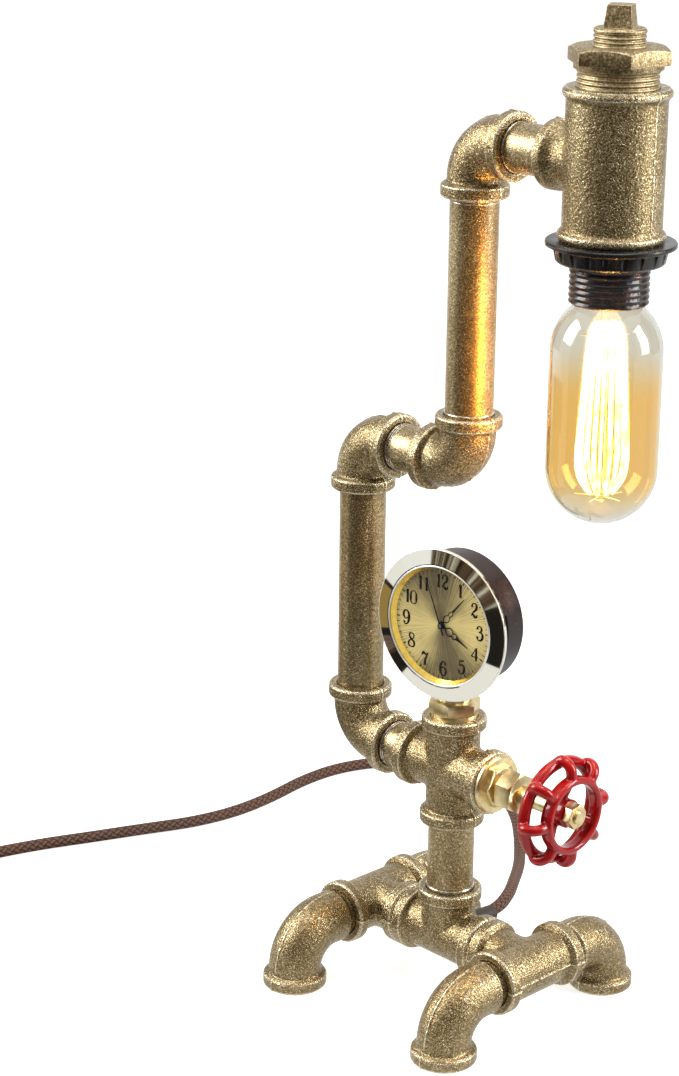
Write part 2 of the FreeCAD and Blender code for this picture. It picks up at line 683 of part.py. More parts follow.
def build_column():
    """The cross on the riser, and the offset pipe up to the double bend."""
    cross = straight_fitting("cross_fitting", "XZ_Plane", "cross_reach", ("left", "right", "up", "down"))
    place(cross, "riser_x", "0", "cross_z")
    side = pipe("side_nipple", "arm_exposed+2*socket_depth", upright=False)
    place(side, "riser_x-cross_reach-arm_exposed-socket_depth", "0", "cross_z")
    place(elbow("lower_elbow", "right", "up"), "lower_x", "0", "cross_z")
    lower = pipe("lower_pipe", "lower_exposed+2*socket_depth", upright=True)
    place(lower, "lower_x", "0", "lower_foot-socket_depth")


def build_upper_arm():
    """The double bend and the upper pipe, which swing together on the lower pipe."""
    place(elbow("bend_elbow_lower", "right", "down"), "lower_x", "0", "bend_z")
    nipple = pipe("bend_nipple", "bend_exposed+2*socket_depth", upright=False)
    place(nipple, "lower_x+elbow_reach-socket_depth", "0", "bend_z")
    place(elbow("bend_elbow_upper", "left", "up"), "upper_x", "0", "bend_z")
    upper = pipe("upper_pipe", "upper_exposed+2*socket_depth", upright=True)
    place(upper, "upper_x", "0", "upper_foot-socket_depth")


# ---------------------------------------------------------------- head

def build_head():
    """The top elbow, the head tee and what closes its upper end."""
    place(elbow("top_elbow", "right", "down"), "upper_x", "0", "head_z")
    nipple = pipe("head_nipple", "head_exposed+2*socket_depth", upright=False)
    place(nipple, "upper_x+elbow_reach-socket_depth", "0", "head_z")
    build_head_tee()
    build_bushing()
    build_square_plug()
    build_lamp_holder()


def build_head_tee():
    body = new_body("head_tee")
    bead = "head_half-head_rim_width"
    half = [
        (bead + "-edge_break", "head_body_dia/2"),
        (bead + "+edge_break", "head_rim_dia/2"),
        ("head_half-2*edge_break", "head_rim_dia/2"),
        ("head_half", "head_rim_dia/2-1.5*edge_break"),
    ]
    lower = [(radius, f"-({height})") for height, radius in reversed(half)]
    upper = [(radius, height) for height, radius in half]
    corners = [("0", "-head_half")] + lower + upper + [("0", "head_half")]
    spin(body, "barrel", outline(body, "barrel_section", "XZ_Plane", corners))
    flare = [
        ("0", "0"),
        ("0", "body_dia/2"),
        ("-(outlet_reach-collar_width-3*edge_break)", "body_dia/2"),
        ("-(outlet_reach-collar_width+2*edge_break)", "collar_dia/2"),
        ("-(outlet_reach-edge_break)", "collar_dia/2"),
        ("-outlet_reach", "collar_dia/2-edge_break"),
        ("-outlet_reach", "0"),
    ]
    spin(body, "outlet", outline(body, "outlet_section", "XZ_Plane", flare), "H_Axis")
    passage = circle(body, "passage_circle", "XY_Plane", "head_passage_dia")
    pocket(body, "passage", passage, "2*head_half-head_socket_depth", both_ways=True)
    for name, sign, back in (("upper", "", True), ("lower", "-", False)):
        mouth = [
            ("0", f"{sign}(head_half-head_socket_depth)"),
            ("head_thread_dia/2+thread_gap", f"{sign}(head_half-head_socket_depth)"),
            ("head_thread_dia/2+thread_gap", f"{sign}(head_half-edge_break)"),
            ("head_thread_dia/2+thread_gap+edge_break", f"{sign}head_half"),
            ("0", f"{sign}head_half"),
        ]
        groove(body, name + "_socket", outline(body, name + "_mouth", "XZ_Plane", mouth))
    socket(body, "left", "XZ_Plane", "outlet_reach", passage_from="0")
    place(body, "head_x", "0", "head_z")


def build_bushing():
    """Hexagon bushing that reduces the head tee to a half-inch thread."""
    body = new_body("hex_bushing")
    stem = [
        ("0", "-bushing_depth"),
        ("head_thread_dia/2-edge_break", "-bushing_depth"),
        ("head_thread_dia/2", "edge_break-bushing_depth"),
        ("head_thread_dia/2", "bushing_exposed-bushing_shoulder"),
        ("head_thread_dia/2+1.4", "bushing_exposed-bushing_shoulder+edge_break"),
        ("head_thread_dia/2+1.4", "bushing_exposed"),
        ("0", "bushing_exposed"),
    ]
    spin(body, "stem", outline(body, "stem_section", "XZ_Plane", stem))
    count = "floor((bushing_exposed-bushing_shoulder)/coarse_pitch)"
    thread_rings(body, "thread", "head_thread_dia", "coarse_pitch/2", "coarse_pitch", count)
    flats = hexagon(body, "hex_outline", "XY_Plane", "bushing_hex", offset="bushing_exposed")
    pad(body, "hex", flats, "bushing_hex_height")
    crown = [
        ("bushing_hex/2-0.3", "bushing_exposed+bushing_hex_height"),
        ("bushing_hex/2+4", "bushing_exposed+bushing_hex_height"),
        ("bushing_hex/2+4", "bushing_exposed+bushing_hex_height-4.3*tan(25)"),
    ]
    groove(body, "hex_crown", outline(body, "crown_section", "XZ_Plane", crown))
    top = "bushing_exposed+bushing_hex_height"
    bore = [
        ("0", "-bushing_depth"),
        ("passage_dia/2", "-bushing_depth"),
        ("passage_dia/2", f"{top}-socket_depth"),
        ("socket_dia/2", f"{top}-socket_depth"),
        ("socket_dia/2", top),
        ("0", top),
    ]
    groove(body, "bore", outline(body, "bore_section", "XZ_Plane", bore))
    place(body, "head_x", "0", "head_z+head_half", "bushing_turn")


def build_square_plug():
    """Square-headed plug in the bushing."""
    body = new_body("square_plug")
    shank = [
        ("0", "-socket_depth"),
        ("pipe_dia/2-edge_break", "-socket_depth"),
        ("pipe_dia/2", "edge_break-socket_depth"),
        ("pipe_dia/2", "plug_exposed-edge_break"),
        ("pipe_dia/2-edge_break", "plug_exposed"),
        ("0", "plug_exposed"),
    ]
    spin(body, "shank", outline(body, "shank_section", "XZ_Plane", shank))
    count = "floor((plug_exposed-edge_break)/fine_pitch)"
    thread_rings(body, "thread", "pipe_dia", "fine_pitch*0.6", "fine_pitch", count)
    square = []
    for name, side, height in (("foot", "plug_base", "plug_exposed"),
                               ("crown", "plug_crown", "plug_exposed+plug_height")):
        quarters = (("-", "-"), ("", "-"), ("", ""), ("-", ""))
        corners = [(f"{left}({side})/2", f"{low}({side})/2") for left, low in quarters]
        square.append(outline(body, "square_" + name, "XY_Plane", corners, offset=height))
    loft = body.newObject("PartDesign::AdditiveLoft", "square")
    loft.Profile = (square[0], [""])
    loft.Sections = [(square[1], [""])]
    place(body, "head_x", "0", "head_z+head_half+bushing_exposed+bushing_hex_height", "plug_turn")


def build_lamp_holder():
    """Threaded holder sleeve with its insulating floor, screw shell and contact."""
    height = "(sleeve_drop+sleeve_rise)"
    body = new_body("lamp_holder")
    wall = [
        ("sleeve_bore/2", "0"),
        ("sleeve_dia/2-edge_break", "0"),
        ("sleeve_dia/2", "edge_break"),
        ("sleeve_dia/2", height),
        ("sleeve_bore/2", height),
    ]
    spin(body, "sleeve", outline(body, "sleeve_section", "XZ_Plane", wall))
    count = "floor((sleeve_drop-ring_height)/sleeve_pitch)"
    thread_rings(body, "thread", "sleeve_dia", "sleeve_pitch*0.8", "sleeve_pitch", count)
    place(body, "head_x", "0", "sleeve_floor")

    floor = new_body("holder_floor")
    rim = circle(floor, "disc_circle", "XY_Plane", "sleeve_bore-2*thread_gap")
    pad(floor, "disc", rim, "base_height", back=True)
    lead = circle(floor, "lead_circle", "XY_Plane", "lead_dia+1", x="sleeve_bore/2-lead_dia")
    pocket(floor, "lead_hole", lead, "base_height")
    place(floor, "head_x", "0", "holder_ceiling")

    shell = new_body("screw_shell")
    tube = [
        ("sleeve_bore/2-shell_wall", "0"),
        ("sleeve_bore/2", "0"),
        ("sleeve_bore/2", "shell_length"),
        ("sleeve_bore/2-shell_wall", "shell_length"),
    ]
    spin(shell, "tube", outline(shell, "tube_section", "XZ_Plane", tube))
    place(shell, "head_x", "0", "floor_under-shell_length")

    contact = new_body("centre_contact")
    button = circle(contact, "button_circle", "XY_Plane", "contact_dia-1")
    pad(contact, "button", button, "floor_under-cap_top-cap_tip")
    place(contact, "head_x", "0", "cap_top+cap_tip")


def build_shade_ring():
    """Fluted ring on the holder's outer thread, screwed up against the head tee."""
    body = new_body("shade_ring")
    rim = [
        ("sleeve_dia/2+ring_gap", "0"),
        ("ring_dia/2-edge_break/2", "0"),
        ("ring_dia/2", "-edge_break/2"),
        ("ring_dia/2", "-(ring_flange-edge_break/2)"),
        ("ring_dia/2-edge_break", "-ring_flange"),
        ("ring_skirt_dia/2", "-(ring_flange+edge_break)"),
        ("ring_skirt_dia/2-1", "-(ring_height-edge_break)"),
        ("ring_skirt_dia/2-1-edge_break", "-ring_height"),
        ("sleeve_dia/2+ring_gap", "-ring_height"),
    ]
    spin(body, "ring", outline(body, "ring_section", "XZ_Plane", rim))
    flute = circle(body, "flute_circle", "XY_Plane", "flute_dia", x="ring_skirt_dia/2+flute_dia/6",
                   offset="-ring_height")
    cut = pocket(body, "flute", flute, "ring_height-ring_flange-edge_break", back=True)
    repeat_round(body, "flutes", [cut], "Z_Axis", "flute_count")
    place(body, "head_x", "0", "head_floor")


def build_bulb():
    """Tubular squirrel-cage lamp: glass, cap and contact."""
    low = "bulb_dia/2-bulb_drop"
    shoulder_x = "bulb_dia/2-bulb_shoulder"
    shoulder_z = f"-sqrt(bulb_shoulder^2-(bulb_neck/2-({shoulder_x}))^2)"
    neck = "cap_dia/2-cap_wall-thread_gap"
    inner_x = f"{neck}-bulb_wall"
    glass = new_body("bulb_glass")
    wall = [
        (inner_x, "neck_rise"),
        (neck, "neck_rise"),
        (neck, "cap_lift"),
        ("bulb_neck/2", "cap_lift"),
        ("bulb_neck/2", "0"),
        (None, shoulder_z, (shoulder_x, shoulder_z)),
        ("bulb_dia/2", low),
        ("0", None, ("0", low), -1),
        ("0", "bulb_wall-bulb_drop"),
        (None, low, ("0", low)),
        ("bulb_dia/2-bulb_wall", shoulder_z),
        (inner_x, None, (shoulder_x, shoulder_z)),
    ]
    spin(glass, "envelope", outline(glass, "envelope_section", "XZ_Plane", wall))
    place(glass, "head_x", "0", "sleeve_floor")

    cap = new_body("bulb_cap")
    skirt = [
        ("cap_dia/2-cap_wall", "0"),
        ("cap_dia/2-thread_depth/2", "0"),
        ("cap_dia/2", "thread_depth"),
        ("cap_dia/2", "cap_length-4"),
        ("contact_dia/2+3", "cap_length"),
        ("contact_dia/2", "cap_length"),
        ("contact_dia/2", "cap_length-0.8"),
        ("contact_dia/2+2.5", "cap_length-0.8"),
        ("cap_dia/2-cap_wall", "cap_length-4.5"),
    ]
    spin(cap, "skirt", outline(cap, "skirt_section", "XZ_Plane", skirt))
    thread_rings(cap, "thread", "cap_dia", "cap_pitch", "cap_pitch", "floor((cap_length-6)/cap_pitch)")
    place(cap, "head_x", "0", "sleeve_floor+cap_lift")

    tip = new_body("bulb_contact")
    button = [
        ("0", "-0.8"),
        ("contact_dia/2", "-0.8"),
        ("contact_dia/2", "0"),
        ("contact_dia/2-0.5", "cap_tip"),
        ("0", "cap_tip"),
    ]
    spin(tip, "button", outline(tip, "button_section", "XZ_Plane", button))
    place(tip, "head_x", "0", "cap_top")


def build_filament():
    """Glass stem, support wires and the cage of hairpin wires inside the lamp."""
    stem = new_body("glass_stem")
    rod = [
        ("0", "neck_rise"),
        ("cap_dia/2-cap_wall-bulb_wall-2*thread_gap", "neck_rise"),
        ("cap_dia/2-cap_wall-bulb_wall-2*thread_gap", "neck_rise-1"),
        ("stem_dia/2+1", "0"),
        ("stem_dia/2", "-cage_top/2"),
        ("stem_dia/2", "-cage_top-3"),
        ("stem_foot_dia/2-0.8", "-cage_top-5"),
        ("stem_foot_dia/2-0.8", "-cage_drop+3"),
        ("stem_foot_dia/2", "-cage_drop+1"),
        ("stem_foot_dia/2", "-cage_drop-2"),
        ("0", "-cage_drop-3"),
    ]
    spin(stem, "rod", outline(stem, "rod_section", "XZ_Plane", rod))
    place(stem, "head_x", "0", "sleeve_floor")

    hook_star("upper_hooks", "stem_dia/2", "-cage_top")
    hook_star("lower_hooks", "stem_foot_dia/2", "-cage_drop")

    cage = new_body("filament")
    half_step = "180/hairpins/2"
    overrun = "wire_dia/2"
    legs = []
    for name, sign in (("left", "-"), ("right", "")):
        spot = circle(cage, name + "_spot", "XY_Plane", "wire_dia", offset=f"-cage_drop-{overrun}",
                      x=f"cage_dia/2*cos({half_step})", y=f"{sign}cage_dia/2*sin({half_step})")
        legs.append(pad(cage, name + "_wire", spot, f"cage_drop-cage_top+2*{overrun}"))
    for name, side, height in (("top", "", "-cage_top"), ("low", "-", "-cage_drop")):
        spot = circle(cage, name + "_spot", "XZ_Plane", "wire_dia*0.8", x=f"{side}cage_dia/2", y=height)
        legs.append(spin(cage, name + "_link", spot, "V_Axis", f"2*{half_step}", both_ways=True))
    repeat_round(cage, "cage", legs, "Z_Axis", "hairpins")
    place(cage, "head_x", "0", "sleeve_floor")


def hook_star(label, root, height):
    """A collar on the stem with a level wire to each hairpin of the filament."""
    body = new_body(label)
    collar = [
        (root, f"{height}-support_dia"),
        (f"{root}+support_dia", f"{height}-support_dia"),
        (f"{root}+support_dia", f"{height}+support_dia"),
        (root, f"{height}+support_dia"),
    ]
    spin(body, "collar", outline(body, "collar_section", "XZ_Plane", collar))
    start = f"{root}+support_dia/2"
    spot = circle(body, "wire_spot", "YZ_Plane", "support_dia", y=height, offset=start)
    wire = pad(body, "wire", spot, f"cage_dia/2-wire_dia/2-({start})")
    repeat_round(body, "wires", [wire], "Z_Axis", "hairpins")
    place(body, "head_x", "0", "sleeve_floor")


# ---------------------------------------------------------------- valve and wheel

def build_valve():
    """Brass bonnet and packing nut in the cross, with the rotary switch behind them."""
    bonnet = new_body("valve_bonnet")
    bore = "spindle_dia/2+spindle_gap"
    neck_end = "bonnet_flange+bonnet_hex_length+bonnet_neck"
    corners = [
        ("-socket_depth", bore),
        ("-socket_depth", "pipe_dia/2-edge_break"),
        ("edge_break-socket_depth", "pipe_dia/2"),
        ("0", "pipe_dia/2"),
        ("0", "bonnet_flange_dia/2-edge_break/2"),
        ("edge_break/2", "bonnet_flange_dia/2"),
        ("bonnet_flange-edge_break", "bonnet_flange_dia/2"),
        ("bonnet_flange", "bonnet_flange_dia/2-edge_break"),
        ("bonnet_flange", "bonnet_neck_dia/2"),
        (neck_end, "bonnet_neck_dia/2"),
        (neck_end, bore),
    ]
    spin(bonnet, "turned", outline(bonnet, "turned_section", "XZ_Plane", corners), "H_Axis")
    hex_end = "bonnet_flange+bonnet_hex_length"
    flats = hexagon(bonnet, "hex_outline", "YZ_Plane", "bonnet_hex", offset="bonnet_flange")
    draw_circle(flats, "bonnet_neck_dia-1")
    pad(bonnet, "hex", flats, "bonnet_hex_length")
    bevel_hex(bonnet, "bonnet_hex", hex_end, outward=True)
    place(bonnet, "riser_x+cross_reach", "0", "cross_z")

    nut = new_body("packing_nut")
    flats = hexagon(nut, "hex_outline", "YZ_Plane", "nut_hex", turn="30")
    pad(nut, "hex", flats, "nut_length")
    bevel_hex(nut, "nut_hex", "nut_length", outward=True)
    bevel_hex(nut, "nut_hex", "0", outward=False)
    cavity = [
        ("0", "0"),
        ("0", "bonnet_neck_dia/2+thread_gap"),
        ("seat_depth", "bonnet_neck_dia/2+thread_gap"),
        ("seat_depth", bore),
        ("nut_length", bore),
        ("nut_length", "0"),
    ]
    groove(nut, "cavity", outline(nut, "cavity_section", "XZ_Plane", cavity), "H_Axis")
    place(nut, "riser_x+cross_reach+nut_from", "0", "cross_z")

    switch = new_body("rotary_switch")
    case = [
        ("-switch_engage", "0"),
        ("-switch_engage", bore),
        ("0", bore),
        ("0", "switch_dia/2"),
        ("-switch_length", "switch_dia/2"),
        ("-switch_length", "0"),
    ]
    spin(switch, "case", outline(switch, "case_section", "XZ_Plane", case), "H_Axis")
    place(switch, "riser_x+cross_reach-socket_depth", "0", "cross_z")


def bevel_hex(body, flats, face, outward):
    """Turns the corners off one end of a hexagon that lies along X."""
    slope = f"(({flats})/2/cos(30)-({flats})/2)*tan(30)"
    sign = "-" if outward else "+"
    corners = [
        (face, f"({flats})/2"),
        (f"{face}{sign}{slope}*1.2", f"({flats})/2/cos(30)*1.03"),
        (face, f"({flats})/2/cos(30)*1.03"),
    ]
    name = "front_bevel" if outward else "back_bevel"
    return groove(body, name, outline(body, name + "_section", "XZ_Plane", corners), "H_Axis")


def build_wheel():
    """Domed handwheel: an inner band, fingers that bend back from it, and the rim behind them.
    With it go the spindle that it turns and the nut that holds it."""
    body = new_body("handwheel")
    wall = [
        ("-band_back", "band_inner_dia/2+edge_break"),
        ("-band_back", "band_inner_dia/2+band_wall-edge_break"),
        ("edge_break-band_back", "band_inner_dia/2+band_wall"),
        ("band_front-edge_break", "band_inner_dia/2+band_wall"),
        ("band_front", "band_inner_dia/2+band_wall-edge_break"),
        ("band_front", "band_inner_dia/2+edge_break"),
        ("band_front-edge_break", "band_inner_dia/2"),
        ("edge_break-band_back", "band_inner_dia/2"),
    ]
    spin(body, "band", outline(body, "band_section", "XY_Plane", wall), "H_Axis")
    root = circle(body, "finger_root", "XY_Plane", "finger_bar", x="finger_front", offset="band_line")
    shank = pad(body, "finger", root, "finger_line-finger_bend-band_line")
    crown = ring_section(body, "crown_section", "YZ_Plane", "finger_bar", "finger_line-finger_bend",
                         y="finger_line", offset="finger_front-finger_bend")
    bent = swing(body, "crown", crown, "90")
    heel = ring_section(body, "heel_section", "YZ_Plane", "finger_bar", "finger_line-finger_tuck",
                        y="finger_line", offset="finger_front-finger_bend")
    tuck = swing(body, "heel", heel, "90", back=True)
    rim = circle(body, "rim_section", "XY_Plane", "rim_bar", x="-rim_back", y="rim_line")
    spin(body, "rim", rim, "H_Axis")
    repeat_round(body, "finger_row", [shank, bent, tuck], "X_Axis", "fingers")
    near = circle(body, "spoke_root", "XY_Plane", "spoke_bar", x="-spoke_lean",
                  offset="hub_dia/2-edge_break")
    far = circle(body, "spoke_end", "XY_Plane", "spoke_bar", x="(band_front-band_back)/2",
                 offset="band_line")
    spoke = body.newObject("PartDesign::AdditiveLoft", "spoke")
    spoke.Profile = (near, [""])
    spoke.Sections = [(far, [""])]
    hub = circle(body, "hub_circle", "YZ_Plane", "hub_dia", offset="-hub_back")
    pad(body, "hub", hub, "hub_back+hub_front")
    repeat_round(body, "spoke_row", [spoke], "X_Axis", "spokes")
    hole = circle(body, "hub_hole", "YZ_Plane", "spindle_tip_dia+2*thread_gap", offset="hub_front")
    body.Tip = pocket(body, "hub_bore", hole, "hub_back+hub_front")
    place(body, "riser_x+wheel_out", "0", "cross_z", "wheel_turn", axis=(1, 0, 0))

    spindle = new_body("valve_spindle")
    start = "cross_reach-socket_depth-switch_engage"
    shoulder = "wheel_out-hub_back"
    tip = "wheel_out+hub_front+hub_nut_length+spindle_show"
    rod = [
        (start, "0"),
        (start, "spindle_dia/2"),
        (shoulder, "spindle_dia/2"),
        (shoulder, "spindle_tip_dia/2"),
        (f"{tip}-edge_break/2", "spindle_tip_dia/2"),
        (tip, "spindle_tip_dia/2-edge_break/2"),
        (tip, "0"),
    ]
    spin(spindle, "rod", outline(spindle, "rod_section", "XZ_Plane", rod), "H_Axis")
    place(spindle, "riser_x", "0", "cross_z")

    nut = new_body("wheel_nut")
    flats = hexagon(nut, "hex_outline", "YZ_Plane", "hub_nut_hex", turn="10")
    draw_circle(flats, "spindle_tip_dia+2*thread_gap")
    pad(nut, "hex", flats, "hub_nut_length")
    bevel_hex(nut, "hub_nut_hex", "hub_nut_length", outward=True)
    place(nut, "riser_x+wheel_out+hub_front", "0", "cross_z")


# ---------------------------------------------------------------- clock

def depth(distance):
    """A distance in front of the dial, as a place along the clock's own Y."""
    return f"-(dial_forward+({distance}))"


def place_clock(body):
    place(body, "riser_x", "0", "clock_z", "clock_turn")


def disc(body, name, corners):
    """A solid turned about the clock's axis, from (radius, distance before the dial)."""
    spots = [(radius, depth(distance)) for radius, distance in corners]
    return spin(body, name, outline(body, name + "_section", "XY_Plane", spots))


def build_clock_stand():
    """Brass bushing in the top of the cross, and the case that stands on it."""
    bushing = new_body("clock_bushing")
    turned = [
        ("stem_bore/2", "-socket_depth"),
        ("pipe_dia/2-edge_break", "-socket_depth"),
        ("pipe_dia/2", "edge_break-socket_depth"),
        ("pipe_dia/2", "stem_rise"),
        ("stem_neck_dia/2", "stem_rise"),
        ("stem_neck_dia/2", "case_seat"),
        ("stem_bore/2", "case_seat"),
    ]
    spin(bushing, "turned", outline(bushing, "turned_section", "XZ_Plane", turned))
    flats = hexagon(bushing, "hex_outline", "XY_Plane", "stem_hex", offset="stem_rise")
    draw_circle(flats, "stem_neck_dia-1")
    pad(bushing, "hex", flats, "stem_hex_height")
    slope = "(stem_hex/2/cos(30)-stem_hex/2)*tan(30)"
    top = "stem_rise+stem_hex_height"
    for name, face, sign in (("top_bevel", top, "-"), ("low_bevel", "stem_rise", "+")):
        bevel = [
            ("stem_hex/2", face),
            ("stem_hex/2/cos(30)*1.03", f"{face}{sign}{slope}*1.2"),
            ("stem_hex/2/cos(30)*1.03", face),
        ]
        groove(bushing, name, outline(bushing, name + "_section", "XZ_Plane", bevel))
    place(bushing, "riser_x", "0", "cross_z+cross_reach")

    case = new_body("clock_case")
    wall = [
        ("case_bore/2", "-bezel_back"),
        ("case_dia/2", "-bezel_back"),
        ("case_dia/2", "-case_back+edge_break"),
        ("case_dia/2-edge_break", "-case_back"),
        ("0", "-case_back"),
        ("0", "-case_back+case_wall"),
        ("case_bore/2", "-case_back+case_wall"),
    ]
    disc(case, "cup", wall)
    foot = circle(case, "boss_circle", "XY_Plane", "stem_neck_dia", offset="-(clock_height-case_seat)")
    pad(case, "boss", foot, "case_stand_off+case_wall*3/4")
    notch = [
        ("-clock_front-case_wall", "-notch_height/2"),
        ("-clock_front+notch_depth", "-notch_height/2"),
        ("-clock_front+notch_depth", "notch_height/2"),
        ("-clock_front-case_wall", "notch_height/2"),
    ]
    cutter = outline(case, "notch_outline", "YZ_Plane", notch, offset="case_dia/2+case_wall")
    pocket(case, "finger_notch", cutter, "case_dia/4")
    place_clock(case)


def build_clock_insert():
    """What pulls out of the case: bezel, glass, ring, dial and movement."""
    seat = "can_dia/2+insert_gap"
    bezel = new_body("clock_bezel")
    disc(bezel, "bezel", [
        (seat, "-bezel_back"),
        ("case_dia/2+bezel_root", "-bezel_back"),
        ("bezel_dia/2", "bezel_edge-bezel_band"),
        ("bezel_dia/2", "bezel_edge"),
        ("bezel_opening/2+1.25*edge_break", "bezel_rise"),
        ("bezel_opening/2", "bezel_rise-edge_break/4"),
        ("bezel_opening/2", "glass_lift+glass_thick"),
        (seat, "glass_lift+glass_thick"),
    ])
    glass = new_body("clock_glass")
    disc(glass, "glass", [
        ("0", "glass_lift"),
        ("can_dia/2", "glass_lift"),
        ("can_dia/2", "glass_lift+glass_thick"),
        ("0", "glass_lift+glass_thick"),
    ])
    ring = new_body("dial_ring")
    disc(ring, "ring", [
        ("dial_dia/2", "0"),
        ("can_dia/2", "0"),
        ("can_dia/2", "glass_lift"),
        ("bezel_opening/2", "glass_lift"),
    ])
    dial = new_body("clock_dial")
    disc(dial, "dial", [
        ("post_dia/2+hand_gap", "-dial_thick"),
        ("can_dia/2", "-dial_thick"),
        ("can_dia/2", "0"),
        ("post_dia/2+hand_gap", "0"),
    ])
    movement = new_body("clock_movement")
    disc(movement, "can", [
        ("0", "-dial_thick-can_depth"),
        ("can_dia/2-edge_break", "-dial_thick-can_depth"),
        ("can_dia/2", "edge_break-dial_thick-can_depth"),
        ("can_dia/2", "-dial_thick"),
        ("post_dia/2", "-dial_thick"),
        ("post_dia/2", "second_lift+hand_thick+0.1"),
        ("0", "second_lift+hand_thick+0.1"),
    ])
    knob = new_body("setting_knob")
    disc(knob, "knob", [
        ("0", "-dial_thick-can_depth-crown_length"),
        ("crown_dia/2-edge_break/2", "-dial_thick-can_depth-crown_length"),
        ("crown_dia/2", "edge_break/2-dial_thick-can_depth-crown_length"),
        ("crown_dia/2", "-dial_thick-can_depth"),
        ("0", "-dial_thick-can_depth"),
    ])
    for piece in (bezel, glass, ring, dial, movement, knob):
        place_clock(piece)


def hand_sketch(body, name, lift, angle):
    """A sketch in the plane of a hand, with its own Y along the hand."""
    sketch = new_sketch(body, name, "XZ_Plane")
    turned = FreeCAD.Rotation(VECTOR(0, 0, 1), 10)
    sketch.AttachmentOffset = FreeCAD.Placement(VECTOR(0, 0, 1), turned)
    sketch.setExpression("AttachmentOffset.Base.z", sheet.bind(f"dial_forward+{lift}"))
    sketch.setExpression("AttachmentOffset.Rotation.Angle", sheet.bind(angle))
    return sketch


def spade_hand(label, length, lift, angle, width):
    """A hand with a pierced spade and a fine tip."""
    body = new_body(label)
    blade = hand_sketch(body, "blade_outline", lift, angle)
    draw_outline(blade, [
        (f"-{width}/2", "0"),
        (f"{width}/2", "0"),
        (f"{width}/2", f"{length}*0.3"),
        (f"{width}*1.7", f"{length}*0.48"),
        (f"{width}*0.5", f"{length}*0.66"),
        ("0.1", length),
        ("-0.1", length),
        (f"-{width}*0.5", f"{length}*0.66"),
        (f"-{width}*1.7", f"{length}*0.48"),
        (f"-{width}/2", f"{length}*0.3"),
    ])
    pad(body, "blade", blade, "hand_thick")
    hub = draw_circle(hand_sketch(body, "hub_circle", lift, angle), "hub_disc")
    pad(body, "hub", hub, "hand_thick")
    eye = hand_sketch(body, "eye_circle", lift, angle)
    draw_circle(eye, f"{width}*1.5", y=f"{length}*0.48")
    pocket(body, "eye", eye, "hand_thick", back=True)
    hole = draw_circle(hand_sketch(body, "hole_circle", lift, angle), "post_dia+2*hand_gap")
    pocket(body, "hole", hole, "hand_thick", back=True)
    place_clock(body)


def build_hands():
    spade_hand("hour_hand", "hour_length", "hour_lift", "hour_angle", "1.2")
    spade_hand("minute_hand", "minute_length", "minute_lift", "minute_angle", "0.9")
    body = new_body("second_hand")
    needle = hand_sketch(body, "needle_outline", "second_lift", "second_angle")
    draw_outline(needle, [
        ("-0.35", "-second_tail"),
        ("0.35", "-second_tail"),
        ("0.1", "second_length"),
        ("-0.1", "second_length"),
    ])
    pad(body, "needle", needle, "hand_thick")
    hub = draw_circle(hand_sketch(body, "hub_circle", "second_lift", "second_angle"), "hub_disc-1")
    pad(body, "hub", hub, "hand_thick")
    hole = hand_sketch(body, "hole_circle", "second_lift", "second_angle")
    draw_circle(hole, "post_dia+2*hand_gap")
    pocket(body, "hole", hole, "hand_thick", back=True)
    place_clock(body)


# ---------------------------------------------------------------- cord and inner leads

# the cord on the table, from behind the base to the coil
CORD_ROUTE = [
    (-26.5, 53.5, 24), (-43, 74.5, 17.5), (-60, 96, 9.5), (-78, 118, 3.1), (-98.5, 140, 3.1),
    (-119, 159, 3.1), (-142, 173.5, 3.1), (-169, 179, 3.1), (-196, 174, 3.1), (-217, 157, 3.1),
    (-227.5, 132, 3.1), (-228, 105, 3.1), (-223, 78, 3.1), (-221.5, 51, 3.1), (-226.5, 25, 3.1),
    (-237.5, 0, 3.1), (-248, -26, 3.1), (-259.5, -53, 3.1), (-268, -81, 3.1), (-272.5, -109, 3.1),
]
FLOOR_GAP = 0.1


def bent_path(points, radii=None):
    """Straight runs joined by tangent arcs. Without radii, each arc is as large as its runs allow."""
    spots = [VECTOR(*point) for point in points]
    edges, start = [], spots[0]
    sizes = []
    for index in range(1, len(spots) - 1):
        corner = spots[index]
        back = (spots[index - 1] - corner).normalize()
        ahead = (spots[index + 1] - corner).normalize()
        half_turn = (math.pi - back.getAngle(ahead)) / 2
        shorter = min(corner.distanceToPoint(spots[index - 1]), corner.distanceToPoint(spots[index + 1]))
        trim = 0.45 * shorter if radii is None else radii[index - 1] * math.tan(half_turn)
        radius = trim / math.tan(half_turn)
        sizes.append(radius)
        first, last = corner + back * trim, corner + ahead * trim
        inward = (back + ahead).normalize()
        middle = corner + inward * (radius / math.cos(half_turn) - radius)
        edges.append(Part.LineSegment(start, first).toShape())
        edges.append(Part.Arc(first, middle, last).toShape())
        start = last
    edges.append(Part.LineSegment(start, spots[-1]).toShape())
    return Part.Wire(edges), sizes


def tube(label, points, diameter, radii=None):
    """A round solid along a bent path, with its volume compared with section times length."""
    path, sizes = bent_path(points, radii)
    start = path.Edges[0]
    ring = Part.Circle(start.valueAt(start.FirstParameter), start.tangentAt(start.FirstParameter),
                       number(diameter) / 2)
    solid = path.makePipeShell([Part.Wire([ring.toShape()])], True, True)
    expected = math.pi * number(diameter) ** 2 / 4 * path.Length
    if abs(solid.Volume / expected - 1) > 0.01:
        raise RuntimeError(f"{label}: volume {solid.Volume:.0f}, expected {expected:.0f}")
    piece = doc.addObject("Part::Feature", label)
    piece.Label = label
    piece.Shape = solid
    parts.append(piece)
    print(label, "length", round(path.Length, 1), "radii", [round(size, 1) for size in sizes])
    return piece


